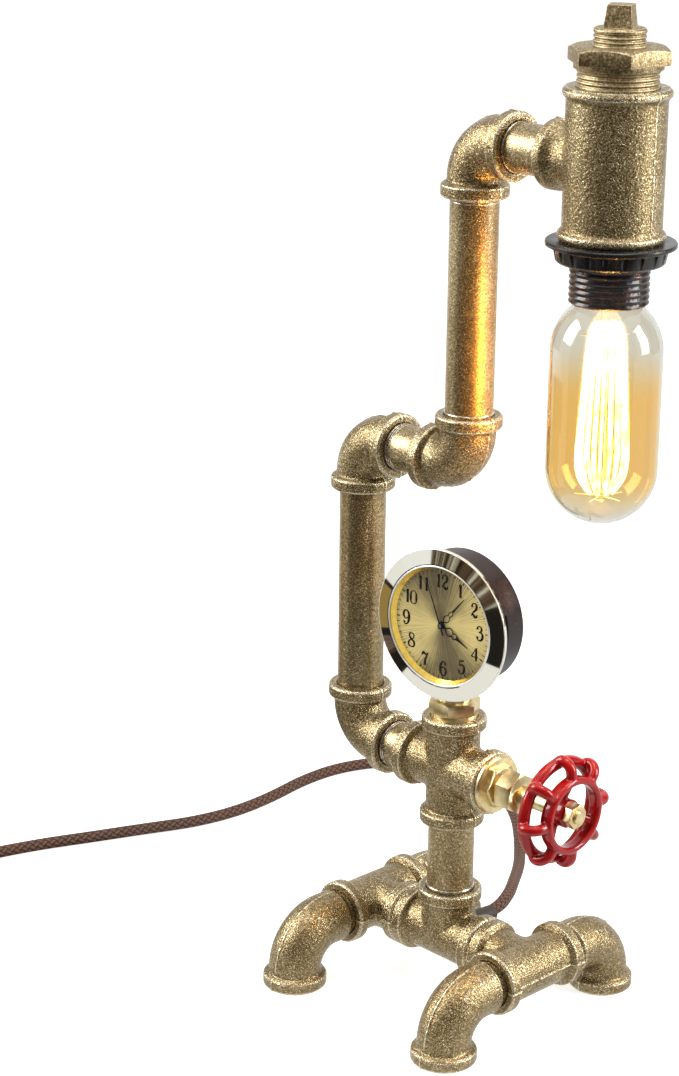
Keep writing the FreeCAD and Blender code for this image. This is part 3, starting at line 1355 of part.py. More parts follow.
def build_cord():
    grommet = new_body("cord_grommet")
    sleeve = [
        ("cord_dia/2+grommet_gap", "passage_dia/2-0.3"),
        ("grommet_barrel/2-grommet_gap", "passage_dia/2-0.3"),
        ("grommet_barrel/2-grommet_gap", "grommet_seat"),
        ("grommet_flange_dia/2", "grommet_seat"),
        ("grommet_flange_dia/2", "grommet_seat+grommet_flange-edge_break"),
        ("grommet_flange_dia/2-edge_break", "grommet_seat+grommet_flange"),
        ("grommet_neck/2", "grommet_seat+grommet_flange"),
        ("grommet_tip/2", "grommet_seat+relief_length"),
        ("cord_dia/2+grommet_gap", "grommet_seat+relief_length"),
    ]
    spin(grommet, "sleeve", outline(grommet, "sleeve_section", "XY_Plane", sleeve))
    place(grommet, "riser_x", "0", "beam_height")
    exit_x, exit_z = number("riser_x"), number("beam_height")
    straight_out = number("grommet_seat+relief_length+cord_dia/2")
    exit_run = [(exit_x, number("passage_dia/2"), exit_z), (exit_x, straight_out, exit_z)]
    tube("power_cord", exit_run + CORD_ROUTE, "cord_dia")
    middle = coil_middle()
    coil = new_body("cord_coil")
    turns = [
        ("(coil_mean_dia-coil_width)/2", "0"),
        ("(coil_mean_dia+coil_width)/2", "0"),
        ("(coil_mean_dia+coil_width)/2", "coil_height"),
        ("(coil_mean_dia-coil_width)/2", "coil_height"),
    ]
    spin(coil, "turns", outline(coil, "turns_section", "XZ_Plane", turns))
    coil.Placement.Base = VECTOR(middle.x, middle.y, FLOOR_GAP)
    build_plug(middle)


def coil_middle():
    """Centre of the coil, whose outer turn the cord runs into."""
    before, end = (VECTOR(*spot) for spot in CORD_ROUTE[-2:])
    heading = (end - before).normalize()
    return end + VECTOR(heading.y, -heading.x, 0) * outer_turn()


def outer_turn():
    return number("(coil_mean_dia+coil_width-cord_dia)/2")


def build_plug(middle):
    """Two-blade mains plug on the end of the outer turn, with a short tail of cord."""
    body = new_body("mains_plug")
    half = "plug_body_width/2"
    shape = [
        ("0", f"-{half}+3"),
        ("3", f"-{half}"),
        ("plug_body_length", f"-{half}"),
        ("plug_body_length", half),
        ("3", half),
        ("0", f"{half}-3"),
    ]
    pad(body, "grip", outline(body, "grip_outline", "XY_Plane", shape), "plug_body_thick")
    boot = [
        ("1", "0"),
        ("1", "plug_boot_dia/2"),
        ("-plug_boot_length", "cord_dia/2+0.8"),
        ("-plug_boot_length", "cord_dia/2"),
        ("-plug_boot_length-plug_tail", "cord_dia/2"),
        ("-plug_boot_length-plug_tail", "0"),
    ]
    sleeve = new_sketch(body, "boot_section", "XZ_Plane")
    sleeve.setExpression("AttachmentOffset.Base.y", sheet.bind("plug_body_thick/2"))
    draw_outline(sleeve, boot)
    spin(body, "boot", sleeve, "H_Axis")
    for index, sign in enumerate(("-", "")):
        near, far = f"{sign}blade_pitch/2-blade_thick/2", f"{sign}blade_pitch/2+blade_thick/2"
        flat = [
            ("plug_body_length-1", near),
            ("plug_body_length+blade_length", near),
            ("plug_body_length+blade_length", far),
            ("plug_body_length-1", far),
        ]
        sketch = outline(body, f"blade_outline_{index}", "XY_Plane", flat,
                         offset="plug_body_thick/2-blade_width/2")
        pad(body, f"blade_{index}", sketch, "blade_width")
    tail_end = number("plug_boot_length+plug_tail")
    beside_coil = VECTOR(middle.x - outer_turn(), middle.y + tail_end, FLOOR_GAP)
    body.Placement = FreeCAD.Placement(beside_coil, FreeCAD.Rotation(VECTOR(0, 0, 1), 90))


def build_leads():
    """The two-core lead inside the pipes, parted at the two swivels."""
    riser, lower, upper, head = (number(name) for name in ("riser_x", "lower_x", "upper_x", "head_x"))
    beam, cross = number("beam_height"), number("cross_z")
    bend_level, head_level = number("bend_z"), number("head_z")
    lead, gap = number("lead_dia"), number("lead_gap") / 2
    elbow_bend, tight, easy = (number(name) for name in ("lead_bend", "lead_tight_bend", "lead_easy_bend"))
    step_from = beam + number("tee_reach+riser_exposed/2")
    step_to = cross - number("cross_reach-edge_break")
    swivel = bend_level - number("elbow_reach") + number("socket_depth")
    tube("base_lead", [
        (riser, number("passage_dia/2-lead_gap"), beam), (riser, 0, beam), (riser, 0, step_from),
        (riser - lead, 0, step_to), (riser - lead, 0, cross), (lower, 0, cross), (lower, 0, swivel - gap),
    ], "lead_dia", [tight, easy, easy, elbow_bend, elbow_bend])
    turn = head_level - number("elbow_reach") + number("socket_depth")
    tube("arm_lead", [
        (lower, 0, swivel + gap), (lower, 0, bend_level), (upper, 0, bend_level), (upper, 0, turn - gap),
    ], "lead_dia", [elbow_bend, elbow_bend])
    drop, end = head + number("sleeve_bore") / 2 - lead, number("floor_under")
    tube("head_lead", [
        (upper, 0, turn + gap), (upper, 0, head_level), (drop, 0, head_level), (drop, 0, end),
    ], "lead_dia", [elbow_bend, elbow_bend])


STEPS = [
    build_base, build_column, build_upper_arm, build_head, build_shade_ring, build_bulb,
    build_filament, build_valve, build_wheel, build_clock_stand, build_clock_insert, build_hands,
    build_cord, build_leads,
]


def main():
    for step in STEPS:
        step()
        doc.recompute()
    failed = [item.Name for item in doc.Objects if {"Invalid", "Error"} & set(item.State)]
    for part in parts:
        if part.Shape.isNull() or not part.Shape.isValid():
            failed.append(part.Label)
    if failed:
        raise RuntimeError("failed: " + ", ".join(failed))
    os.makedirs("parts", exist_ok=True)
    for part in parts:
        part.Shape.exportStep(f"parts/{part.Label}.step")


main()
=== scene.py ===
import json
from math import cos, floor, pi, radians, sin

import bmesh
import bpy
from mathutils import Matrix, Vector, noise


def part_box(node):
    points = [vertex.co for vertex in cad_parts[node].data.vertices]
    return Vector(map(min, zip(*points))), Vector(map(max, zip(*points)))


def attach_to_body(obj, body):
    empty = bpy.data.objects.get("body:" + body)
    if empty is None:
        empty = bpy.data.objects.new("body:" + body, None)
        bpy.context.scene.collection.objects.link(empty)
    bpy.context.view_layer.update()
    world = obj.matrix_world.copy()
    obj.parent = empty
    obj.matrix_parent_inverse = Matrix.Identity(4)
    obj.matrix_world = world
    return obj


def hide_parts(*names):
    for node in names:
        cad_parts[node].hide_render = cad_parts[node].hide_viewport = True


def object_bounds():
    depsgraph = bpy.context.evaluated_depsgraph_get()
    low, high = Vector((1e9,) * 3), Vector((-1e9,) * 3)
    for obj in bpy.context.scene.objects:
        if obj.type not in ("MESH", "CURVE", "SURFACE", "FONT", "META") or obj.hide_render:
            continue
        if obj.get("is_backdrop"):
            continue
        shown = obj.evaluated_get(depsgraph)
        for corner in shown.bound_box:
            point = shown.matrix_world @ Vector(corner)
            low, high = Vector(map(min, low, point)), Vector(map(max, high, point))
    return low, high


# The looks of the pipe lamp. Metres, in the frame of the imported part: +Z up, clock facing -Y.
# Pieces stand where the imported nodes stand, so most places are read from the nodes' boxes.

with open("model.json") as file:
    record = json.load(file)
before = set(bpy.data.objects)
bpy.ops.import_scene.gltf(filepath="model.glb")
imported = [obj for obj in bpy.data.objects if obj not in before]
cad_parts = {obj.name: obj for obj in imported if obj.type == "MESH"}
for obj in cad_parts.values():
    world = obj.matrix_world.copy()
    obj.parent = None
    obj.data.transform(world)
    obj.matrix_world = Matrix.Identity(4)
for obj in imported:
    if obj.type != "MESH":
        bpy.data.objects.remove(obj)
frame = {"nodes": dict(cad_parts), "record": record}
nodes = frame["nodes"]
cad_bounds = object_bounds()
MM = 0.001


def middle(node):
    low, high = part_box(node)
    return (low + high) / 2


RISER_X = middle("riser_nipple").x
BEAM_Z = middle("left_close_nipple").z


# ---------------------------------------------------------------- camera, floor and lights

CAMERA_PLACE = (0.7359, -0.7953, 0.5770)
CAMERA_HEADING = radians(46.14)
CAMERA_DOWN = radians(18.19)
CAMERA_ROLL = radians(0.64)
CAMERA_LENS = 87.08
NEAREST_SEEN = 0.01

WINDOWS_AIM = (0, 0, 0.2)
HALF_FLOOR = 6
TABLE_LIFT = 1 * MM
DEGREES_PER_STEP = 6
GLOW_STEP = 24 * MM
GLOW_RADIUS = 6 * MM
GLOW_POWER = 0.7
GLOW_COLOUR = (1.0, 0.46, 0.08)


def collect(name, data):
    thing = bpy.data.objects.new(name, data)
    bpy.context.scene.collection.objects.link(thing)
    return thing


def place_camera():
    camera = collect("camera", bpy.data.cameras.new("camera"))
    camera.data.lens = CAMERA_LENS
    camera.data.clip_start = NEAREST_SEEN
    level = Matrix.Rotation(CAMERA_HEADING, 4, "Z") @ Matrix.Rotation(pi / 2 - CAMERA_DOWN, 4, "X")
    camera.matrix_world = Matrix.Translation(CAMERA_PLACE) @ level @ Matrix.Rotation(CAMERA_ROLL, 4, "Z")
    bpy.context.scene.camera = camera


def aimed(place, target):
    """A turn that faces -Z from a place to a target."""
    direction = Vector(target) - Vector(place)
    return Matrix.Translation(place) @ direction.to_track_quat("-Z", "Y").to_matrix().to_4x4()


def soft_light(name, place, size, power):
    lamp = bpy.data.lights.new(name, "AREA")
    lamp.shape = "RECTANGLE"
    lamp.size, lamp.size_y = size
    lamp.energy = power
    collect(name, lamp).matrix_world = aimed(place, WINDOWS_AIM)


def unseen(name, form, finish):
    """Something of the room that only reflections see, so that bright metal has something to show."""
    thing = finished(name, form, finish)
    for ray in ("camera", "diffuse", "shadow", "transmission"):
        setattr(thing, "visible_" + ray, False)
    thing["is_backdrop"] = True


def swept(start, end, first, last):
    """A strip from start to end (out from the middle, height), swept round the middle of the room from a
    first to a last degree."""
    form = bmesh.new()
    edge = form.edges.new([form.verts.new((out, 0, height)) for out, height in (start, end)])
    bmesh.ops.rotate(form, cent=(0, 0, 0), matrix=Matrix.Rotation(radians(first), 3, "Z"), verts=form.verts)
    bmesh.ops.spin(form, geom=[edge, *edge.verts], cent=(0, 0, 0), axis=(0, 0, 1),
                   angle=radians(last - first), steps=max(2, round(abs(last - first) / DEGREES_PER_STEP)))
    return form


def lamp_glow(name, lift):
    """Part of the lamp's light: its wire is too thin to light the pipes cleanly by itself. It goes where
    the lamp goes."""
    glow = bpy.data.lights.new(name, "POINT")
    glow.energy = GLOW_POWER
    glow.color = GLOW_COLOUR
    glow.shadow_soft_size = GLOW_RADIUS
    lit = collect(name, glow)
    lit.matrix_world = Matrix.Translation(middle("filament") + Vector((0, 0, lift)))
    lit.visible_camera = False
    lit.visible_transmission = False
    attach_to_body(lit, "lamp")


def light_scene():
    soft_light("left_window", (-1.09, -0.91, 0.97), (0.76, 1.0), 27)
    soft_light("right_window", (1.15, 0.80, 0.75), (0.46, 1.1), 23)
    soft_light("top_window", (0.1, 0.1, 1.5), (0.8, 0.8), 6)
    for name, out, top, first, last in (("camera_side_cloth", 2.2, 2.4, -124, 14),
                                        ("left_cloth", 2.3, 2.0, 160, 203),
                                        ("right_cloth", 2.3, 2.0, 52, 84)):
        unseen(name, swept((out, 0), (out, top), first, last), cloth())
    for name, near, far, first, last, finish in (("dark_table", 0.28, 2.2, -126, 8, card_black),
                                                 ("near_table", 0.24, 0.42, -195, -126, card_black),
                                                 ("warm_table", 0.42, 0.98, -176, -146, card_warm),
                                                 ("table_edge", 0.98, 1.14, -174, -140, card_black),
                                                 ("white_table", 1.15, 2.2, -226, -150, card_bright)):
        unseen(name, swept((near, TABLE_LIFT), (far, TABLE_LIFT), first, last), finish())
    for number, lift in enumerate((-GLOW_STEP, 0.0, GLOW_STEP)):
        lamp_glow(f"lamp_glow_{number + 1}", lift)
    form = bmesh.new()
    bmesh.ops.create_grid(form, x_segments=1, y_segments=1, size=HALF_FLOOR)
    finished("floor", form, floor_white())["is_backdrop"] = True
    sky()


# ---------------------------------------------------------------- shader maths

# the Mix node's sockets that take and give colours, by number, because their names are shared
MIX_AMOUNT, MIX_FIRST, MIX_SECOND = 0, 6, 7
MIX_COLOUR = 2


class Wire:
    """A shader socket that takes part in sums: each operator adds a Math node."""

    def __init__(self, shader, socket):
        self.shader = shader
        self.socket = socket

    def __add__(self, other):
        return self.shader.maths("ADD", self, other)

    def __radd__(self, other):
        return self.shader.maths("ADD", other, self)

    def __sub__(self, other):
        return self.shader.maths("SUBTRACT", self, other)

    def __rsub__(self, other):
        return self.shader.maths("SUBTRACT", other, self)

    def __mul__(self, other):
        return self.shader.maths("MULTIPLY", self, other)

    def __rmul__(self, other):
        return self.shader.maths("MULTIPLY", other, self)

    def smooth_step(self, low, high):
        """0 below low, 1 above high."""
        settings = {"interpolation_type": "SMOOTHSTEP"}
        return self.shader.node("MapRange", settings, {"Value": self, "From Min": low, "From Max": high})


class Shader:
    """A material, or the world, under construction."""

    def __init__(self, holder):
        holder.use_nodes = True
        self.holder = holder
        self.tree = holder.node_tree
        self.tree.nodes.clear()

    def node(self, kind, settings=None, sockets=None, output=0):
        """Any node: its settings are made first, then its sockets get values or links, and one of its
        outputs is read."""
        node = self.tree.nodes.new("ShaderNode" + kind)
        for name, value in (settings or {}).items():
            setattr(node, name, value)
        for name, value in (sockets or {}).items():
            if isinstance(value, Wire):
                self.tree.links.new(value.socket, node.inputs[name])
            else:
                node.inputs[name].default_value = value
        return Wire(self, node.outputs[output]) if node.outputs else None

    def maths(self, operation, *values):
        return self.node("Math", {"operation": operation}, dict(enumerate(values)))

    def place(self):
        """Object coordinates."""
        return self.node("TexCoord", output="Object")

    def noise(self, scale, detail=2.0, roughness=0.5, stretch=None):
        where = self.place()
        if stretch:
            where = self.node("Mapping", {}, {"Vector": where, "Scale": stretch})
        sockets = {"Vector": where, "Scale": scale, "Detail": detail, "Roughness": roughness}
        return self.node("TexNoise", {}, sockets)

    def cells(self, scale):
        """A random value for each small cell."""
        found = self.node("TexVoronoi", {}, {"Vector": self.place(), "Scale": scale}, "Color")
        return self.node("SeparateColor", {}, {"Color": found})

    def blend(self, amount, first, second):
        """A colour between two colours."""
        sockets = {MIX_AMOUNT: amount, MIX_FIRST: colour(first), MIX_SECOND: colour(second)}
        return self.node("Mix", {"data_type": "RGBA"}, sockets, MIX_COLOUR)

    def bump(self, height, distance, strength=1.0, under=None):
        sockets = {"Height": height, "Distance": distance, "Strength": strength}
        if under:
            sockets["Normal"] = under
        return self.node("Bump", {}, sockets)

    def edges(self, low, high):
        """1 on raised edges and 0 elsewhere."""
        return self.node("NewGeometry", output="Pointiness").smooth_step(low, high)

    def surface(self, **sockets):
        named = {name.replace("_", " "): value for name, value in sockets.items()}
        return self.node("BsdfPrincipled", {}, named)

    def glow(self, tint, strength=1.0):
        return self.node("Emission", {}, {"Color": colour(tint), "Strength": strength})

    def finish(self, closure):
        kind = "OutputWorld" if isinstance(self.holder, bpy.types.World) else "OutputMaterial"
        self.node(kind, {}, {"Surface": closure})
        return self.holder


def colour(value):
    """A colour with its fourth number, or a link as it is."""
    return value if isinstance(value, Wire) else (*value[:3], 1.0)


MADE = {}


def material(make):
    """Makes a material once, under its function's name."""
    name = make.__name__

    def once():
        if name not in MADE:
            MADE[name] = make(Shader(bpy.data.materials.new(name)))
        return MADE[name]
    return once


# ---------------------------------------------------------------- finishes of the room

@material
def floor_white(shader):
    """A pale floor that reads as white paper to the camera and to bright metal, with a soft shadow."""
    paper = shader.node("BsdfDiffuse", {}, {"Color": (0.8, 0.8, 0.8, 1.0)})
    lift = shader.glow((1, 1, 1), 0.74)
    card = shader.glow((1, 1, 0.97), 0.96)
    seen = shader.node("AddShader", {}, {0: paper, 1: lift})
    direct = shader.node("MixShader", {}, {0: seen_directly(shader), 1: paper, 2: seen})
    gloss = shader.node("LightPath", output="Is Glossy Ray")
    return shader.finish(shader.node("MixShader", {}, {0: gloss, 1: direct, 2: card}))


@material
def card_black(shader):
    return shader.finish(shader.glow((0.018, 0.016, 0.013)))


@material
def card_bright(shader):
    return shader.finish(shader.glow((1, 0.98, 0.93), 1.5))


@material
def card_warm(shader):
    return shader.finish(shader.glow((0.34, 0.23, 0.07)))


@material
def cloth(shader):
    """A dark cloth whose folds are painted on a flat strip as pale lit streaks and dark shaded ones."""
    painted_fold_light = shader.noise(8.0, 4, 0.8, stretch=(1, 1, 0.02))
    # painted light and shade of folds: pale streaks where a fold would catch light, dark where it would be
    # shaded
    brown = shader.blend(painted_fold_light.smooth_step(0.36, 0.48), (0.006, 0.005, 0.004), (0.10, 0.062, 0.036))
    shade = shader.blend(painted_fold_light.smooth_step(0.50, 0.62), brown, (0.62, 0.61, 0.48))
    return shader.finish(shader.glow(shade))


def seen_directly(shader):
    """1 for rays from the camera, from gloss and through glass."""
    camera = shader.node("LightPath", output="Is Camera Ray")
    gloss = shader.node("LightPath", output="Is Glossy Ray")
    glass = shader.node("LightPath", output="Is Transmission Ray")
    return shader.maths("MAXIMUM", shader.maths("MAXIMUM", camera, gloss), glass)


def sky():
    world = bpy.data.worlds.new("studio")
    bpy.context.scene.world = world
    shader = Shader(world)
    dim = shader.node("Background", {}, {"Color": (1.0, 1.0, 1.0, 1.0), "Strength": 0.36})
    white = shader.node("Background", {}, {"Color": (1.0, 1.0, 1.0, 1.0), "Strength": 1.0})
    shader.finish(shader.node("MixShader", {}, {0: seen_directly(shader), 1: dim, 2: white}))


# ---------------------------------------------------------------- finishes of the lamp

# colours of the bronze hammer paint, from the painted shade in its recesses to its rubbed edges
RECESS_SHADE = (0.045, 0.032, 0.018)
SHADE = (0.155, 0.112, 0.055)
BRONZE = (0.41, 0.31, 0.155)
PALE_GOLD = (0.88, 0.79, 0.58)


def speckled_paint(shader, grain, pebble, relief):
    """Bronze hammer paint: fine gold grains in a brown ground, over a pebbled skin."""
    fleck = shader.cells(1 / grain)
    fine = shader.noise(0.5 / grain, 3, 0.7)
    drift = shader.noise(45, 3)
    gold = fleck * 0.6 + fine * 0.9 + drift * 0.4
    ground = shader.blend(gold.smooth_step(0.6, 1.25), SHADE, BRONZE)
    bright = shader.blend(gold.smooth_step(1.12, 1.5), ground, PALE_GOLD)
    skin = shader.noise(1 / pebble, 3, 0.62) + fleck * 0.2
    return bright, fleck, shader.bump(skin, relief, 1.0)


@material
def cast_paint(shader):
    bright, fleck, normal = speckled_paint(shader, 0.5 * MM, 1.1 * MM, 0.45 * MM)
    worn = shader.edges(0.509, 0.530)
    # painted shade: hollows, creases and band mouths, where the pointiness is low, are darkened towards a
    # near-black brown
    recess_shade_mask = 1 - shader.edges(0.45, 0.489)
    rubbed = shader.blend(worn * (0.4 + fleck * 0.5), bright, PALE_GOLD)
    recess_shaded = shader.blend(recess_shade_mask * 0.85, rubbed, RECESS_SHADE)
    return shader.finish(shader.surface(
        Base_Color=recess_shaded, Metallic=0.88, Roughness=0.31 - worn * 0.06 - fleck * 0.1, Normal=normal))


@material
def pipe_paint(shader):
    bright, fleck, normal = speckled_paint(shader, 0.45 * MM, 0.7 * MM, 0.09 * MM)
    return shader.finish(shader.surface(
        Base_Color=bright, Metallic=0.82, Roughness=0.33 - fleck * 0.08, Normal=normal))


@material
def machined_paint(shader):
    """The same paint on turned and milled faces: brushed, and rubbed pale on its edges."""
    bright, fleck, normal = speckled_paint(shader, 0.6 * MM, 0.8 * MM, 0.12 * MM)
    rubbed = shader.node("Attribute", {"attribute_name": "rubbed"}, output="Fac")
    brushed = shader.noise(500, 3, stretch=(2.2, 2.2, 0.12))
    tone = shader.blend(rubbed * (0.35 + fleck * 0.5), bright, (0.74, 0.62, 0.40))
    lined = shader.bump(brushed, 0.10 * MM, 0.7, under=normal)
    return shader.finish(shader.surface(Base_Color=tone, Metallic=0.88, Roughness=0.44, Normal=lined))


@material
def bare_thread(shader):
    grime = shader.noise(700, 2).smooth_step(0.35, 0.7)
    steel = shader.blend(grime, (0.80, 0.77, 0.70), (0.34, 0.29, 0.21))
    return shader.finish(shader.surface(Base_Color=steel, Metallic=0.9, Roughness=0.26))


@material
def polished_brass(shader):
    haze = shader.noise(220, 3)
    lines = shader.noise(900, 2, stretch=(6, 0.6, 0.6))
    tone = shader.blend(haze.smooth_step(0.3, 0.75), (0.70, 0.55, 0.27), (0.88, 0.76, 0.46))
    normal = shader.bump(lines, 0.015 * MM, 0.6)
    rough = 0.24 + haze * 0.18
    return shader.finish(shader.surface(Base_Color=tone, Metallic=1.0, Roughness=rough, Normal=normal))


@material
def shell_brass(shader):
    haze = shader.noise(300, 3)
    tone = shader.blend(haze, (0.62, 0.44, 0.18), (0.78, 0.60, 0.28))
    return shader.finish(shader.surface(Base_Color=tone, Metallic=1.0, Roughness=0.2 + haze * 0.2))


@material
def cap_solder(shader):
    haze = shader.noise(600, 3)
    return shader.finish(shader.surface(
        Base_Color=shader.blend(haze, (0.45, 0.45, 0.46), (0.62, 0.62, 0.62)), Metallic=1.0, Roughness=0.4))


@material
def red_enamel(shader):
    """Thick glossy enamel that thins to a brighter red on the ridges."""
    worn = shader.edges(0.5, 0.56)
    flow = shader.noise(120, 2)
    tone = shader.blend(worn * 0.5 + flow * 0.3, (0.19, 0.0, 0.001), (0.53, 0.002, 0.004))
    normal = shader.bump(shader.noise(420, 2), 0.05 * MM, 0.5)
    return shader.finish(shader.surface(
        Base_Color=tone, Roughness=0.3 + flow * 0.12, Normal=normal, Specular_IOR_Level=0.1,
        Coat_Weight=1.0, Coat_Roughness=0.02, Coat_IOR=1.4))


@material
def bezel_chrome(shader):
    haze = shader.noise(160, 3)
    normal = shader.bump(shader.noise(45, 1), 0.2 * MM, 0.25)
    return shader.finish(shader.surface(
        Base_Color=(0.80, 0.79, 0.71, 1.0), Metallic=1.0, Roughness=0.03 + haze * 0.04, Normal=normal))


# painted highlight: a pale, half-metallic finish that reads bright under any light, for the bezel's edges
@material
def chrome_edge(shader):
    haze = shader.noise(300, 2)
    return shader.finish(shader.surface(
        Base_Color=(0.90, 0.90, 0.86, 1.0), Metallic=0.6, Roughness=0.25 + haze * 0.15))


@material
def black_case(shader):
    """Black grained lacquer, brown where it is rubbed."""
    grain = shader.noise(900, 3, 0.65)
    rub = shader.noise(55, 3).smooth_step(0.5, 0.75)
    tone = shader.blend(rub * grain.smooth_step(0.45, 0.7), (0.010, 0.008, 0.010), (0.075, 0.038, 0.026))
    normal = shader.bump(grain, 0.10 * MM, 0.8)
    return shader.finish(shader.surface(
        Base_Color=tone, Roughness=0.26 + rub * 0.15, Normal=normal, Specular_IOR_Level=0.28))


@material
def holder_black(shader):
    """Black lacquer over copper, rubbed through on the ridges."""
    rubbed = shader.node("Attribute", {"attribute_name": "rubbed"}, output="Fac")
    worn = rubbed * shader.noise(260, 3).smooth_step(0.47, 0.68)
    tone = shader.blend(worn, (0.008, 0.007, 0.008), (0.30, 0.105, 0.045))
    haze = shader.noise(500, 3)
    return shader.finish(shader.surface(
        Base_Color=tone, Metallic=worn * 0.8, Roughness=0.2 + haze * 0.15,
        Normal=shader.bump(haze, 0.05 * MM, 0.5)))


def moulded(name, dark, light, roughness):
    """A plain moulded finish with a little unevenness."""
    def make(shader):
        grain = shader.noise(1100, 2)
        tone = shader.blend(grain, dark, light)
        normal = shader.bump(grain, 0.04 * MM, 0.5)
        return shader.finish(shader.surface(Base_Color=tone, Roughness=roughness, Normal=normal))
    make.__name__ = name
    return material(make)


@material
def amber_glass(shader):
    """Thin blown glass, amber along its barrel; it is paled nearly clear at the shoulder and the tip as
    painted light, copying the lighter look of the lit bulb there.
    """
    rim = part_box("lamp_holder")[0].z
    height = shader.node("SeparateXYZ", {}, {0: shader.place()}, "Z") + shader.noise(60, 2) * (6 * MM)
    # painted light: the shoulder and the tip are paled towards clear glass
    tip = height.smooth_step(rim - 86 * MM, rim - 70 * MM)
    shoulder = height.smooth_step(rim - 36 * MM, rim - 16 * MM)
    barrel = tip * (1 - shoulder)
    tint = shader.blend(barrel, (0.82, 0.805, 0.745), (0.92, 0.71, 0.37))
    return shader.finish(shader.surface(
        Base_Color=tint, Roughness=0.0, IOR=1.45, Transmission_Weight=1.0))


@material
def clear_glass(shader):
    return shader.finish(shader.surface(
        Base_Color=(1.0, 1.0, 1.0, 1.0), Roughness=0.0, IOR=1.2, Transmission_Weight=1.0))


@material
def filament_wire(shader):
    """White-hot carbon wire, yellower in patches."""
    patch = shader.noise(160, 2).smooth_step(0.45, 0.62)
    glow = shader.blend(patch, (1.0, 0.88, 0.62), (1.0, 0.62, 0.16))
    return shader.finish(shader.surface(
        Base_Color=(1.0, 0.6, 0.25, 1.0), Emission_Color=glow, Emission_Strength=7.0))


@material
def dial_gold(shader):
    """Brass brushed outwards from the middle of the dial, with a painted sheen of two light and two dark
    sectors.
    """
    place = shader.node("VectorMath", {"operation": "SUBTRACT"}, {0: shader.place(), 1: DIAL_MIDDLE})
    spin = shader.node("Mapping", {}, {"Vector": place, "Rotation": (0, 0, -CLOCK_TURN)})
    across = shader.node("SeparateXYZ", {}, {0: spin}, "X")
    up = shader.node("SeparateXYZ", {}, {0: spin}, "Z")
    angle = shader.maths("ARCTAN2", up, across)
    brushed = shader.node("TexNoise", {"noise_dimensions": "1D"}, {"W": angle, "Scale": 42.0, "Detail": 5.0})
    # painted sheen: the bow-tie highlight of radial brushing, laid into the colour as light and dark sectors
    painted_sheen = shader.maths("COSINE", angle * 2 - 0.45)
    cloud = shader.noise(70, 3)
    shade = brushed * 1.1 + painted_sheen * 0.30 + cloud * 0.6 - 0.85
    tone = shader.blend(shade.smooth_step(-0.35, 0.45), (0.09, 0.066, 0.028), (0.60, 0.48, 0.185))
    normal = shader.bump(brushed, 0.12 * MM, 0.6)
    return shader.finish(shader.surface(Base_Color=tone, Metallic=0.6, Roughness=0.36, Normal=normal))


@material
def ring_gold(shader):
    haze = shader.noise(400, 2)
    tone = shader.blend(haze, (0.66, 0.42, 0.05), (0.88, 0.64, 0.14))
    return shader.finish(shader.surface(Base_Color=tone, Metallic=1.0, Roughness=0.16 + haze * 0.1))


@material
def print_black(shader):
    grain = shader.noise(1500, 2)
    ink = shader.blend(grain, (0.004, 0.003, 0.003), (0.012, 0.009, 0.007))
    return shader.finish(shader.surface(Base_Color=ink, Roughness=0.8, Specular_IOR_Level=0.0))


# the braid: how many strands lie side by side round the cord, how far one runs in a turn, and the length of
# cord that the whole map is laid out for
STRANDS = 6
STRAND_PITCH = 4.4 * MM
BRAIDED_LENGTH = 1.73


@material
def brown_textile(shader):
    """A braided sleeve: strands that cross over and under along the cord's own map, with painted shade in the
    grooves between them and painted light on their crests.
    """
    along = shader.node("SeparateXYZ", {}, {0: shader.node("UVMap")}, "X")
    around = shader.node("SeparateXYZ", {}, {0: shader.node("UVMap")}, "Y")
    leaning = around * STRANDS + along * (BRAIDED_LENGTH / STRAND_PITCH)
    counter = around * STRANDS - along * (BRAIDED_LENGTH / STRAND_PITCH)
    first = shader.maths("PINGPONG", leaning, 0.5) * 2
    second = shader.maths("PINGPONG", counter, 0.5) * 2
    crossings = shader.maths("FLOOR", leaning) + shader.maths("FLOOR", counter)
    over = shader.maths("PINGPONG", crossings, 1.0)
    height = first * over + second * (1 - over)
    thread = shader.noise(2400, 2)
    # painted light and shade: the strands' crests are lighter and the grooves between them nearly black
    lit = height.smooth_step(0.1, 0.9) * 0.8 + thread * 0.3
    tone = shader.blend(lit, (0.004, 0.002, 0.001), (0.15, 0.078, 0.052))
    normal = shader.bump(height + thread * 0.3, 0.3 * MM, 0.9)
    return shader.finish(shader.surface(
        Base_Color=tone, Roughness=0.62, Normal=normal, Specular_IOR_Level=0.25))


FINISHES = {
    "cast_paint": cast_paint,
    "pipe_paint": pipe_paint,
    "polished_brass": polished_brass,
    "shell_brass": shell_brass,
    "cap_solder": cap_solder,
    "red_enamel": red_enamel,
    "bezel_chrome": bezel_chrome,
    "black_case": black_case,
    "holder_black": holder_black,
    "switch_plastic": moulded("switch_plastic", (0.03, 0.03, 0.032), (0.06, 0.06, 0.062), 0.5),
    "white_ceramic": moulded("white_ceramic", (0.72, 0.70, 0.66), (0.82, 0.80, 0.76), 0.25),
    "black_rubber": moulded("black_rubber", (0.016, 0.012, 0.010), (0.032, 0.024, 0.020), 0.55),
    "brown_textile": brown_textile,
    "lead_sheath": moulded("lead_sheath", (0.05, 0.05, 0.05), (0.08, 0.08, 0.08), 0.5),
    "amber_glass": amber_glass,
    "clear_glass": clear_glass,
    "hook_wire": cap_solder,
    "filament_wire": filament_wire,
    "dial_gold": dial_gold,
    "ring_gold": ring_gold,
    "hand_black": print_black,
}


def finish_nodes():
    for part in frame["record"]["subparts"]:
        for slot in nodes[part["node"]].material_slots:
            slot.material = FINISHES[part["material_slot"]]()


# ---------------------------------------------------------------- making pieces

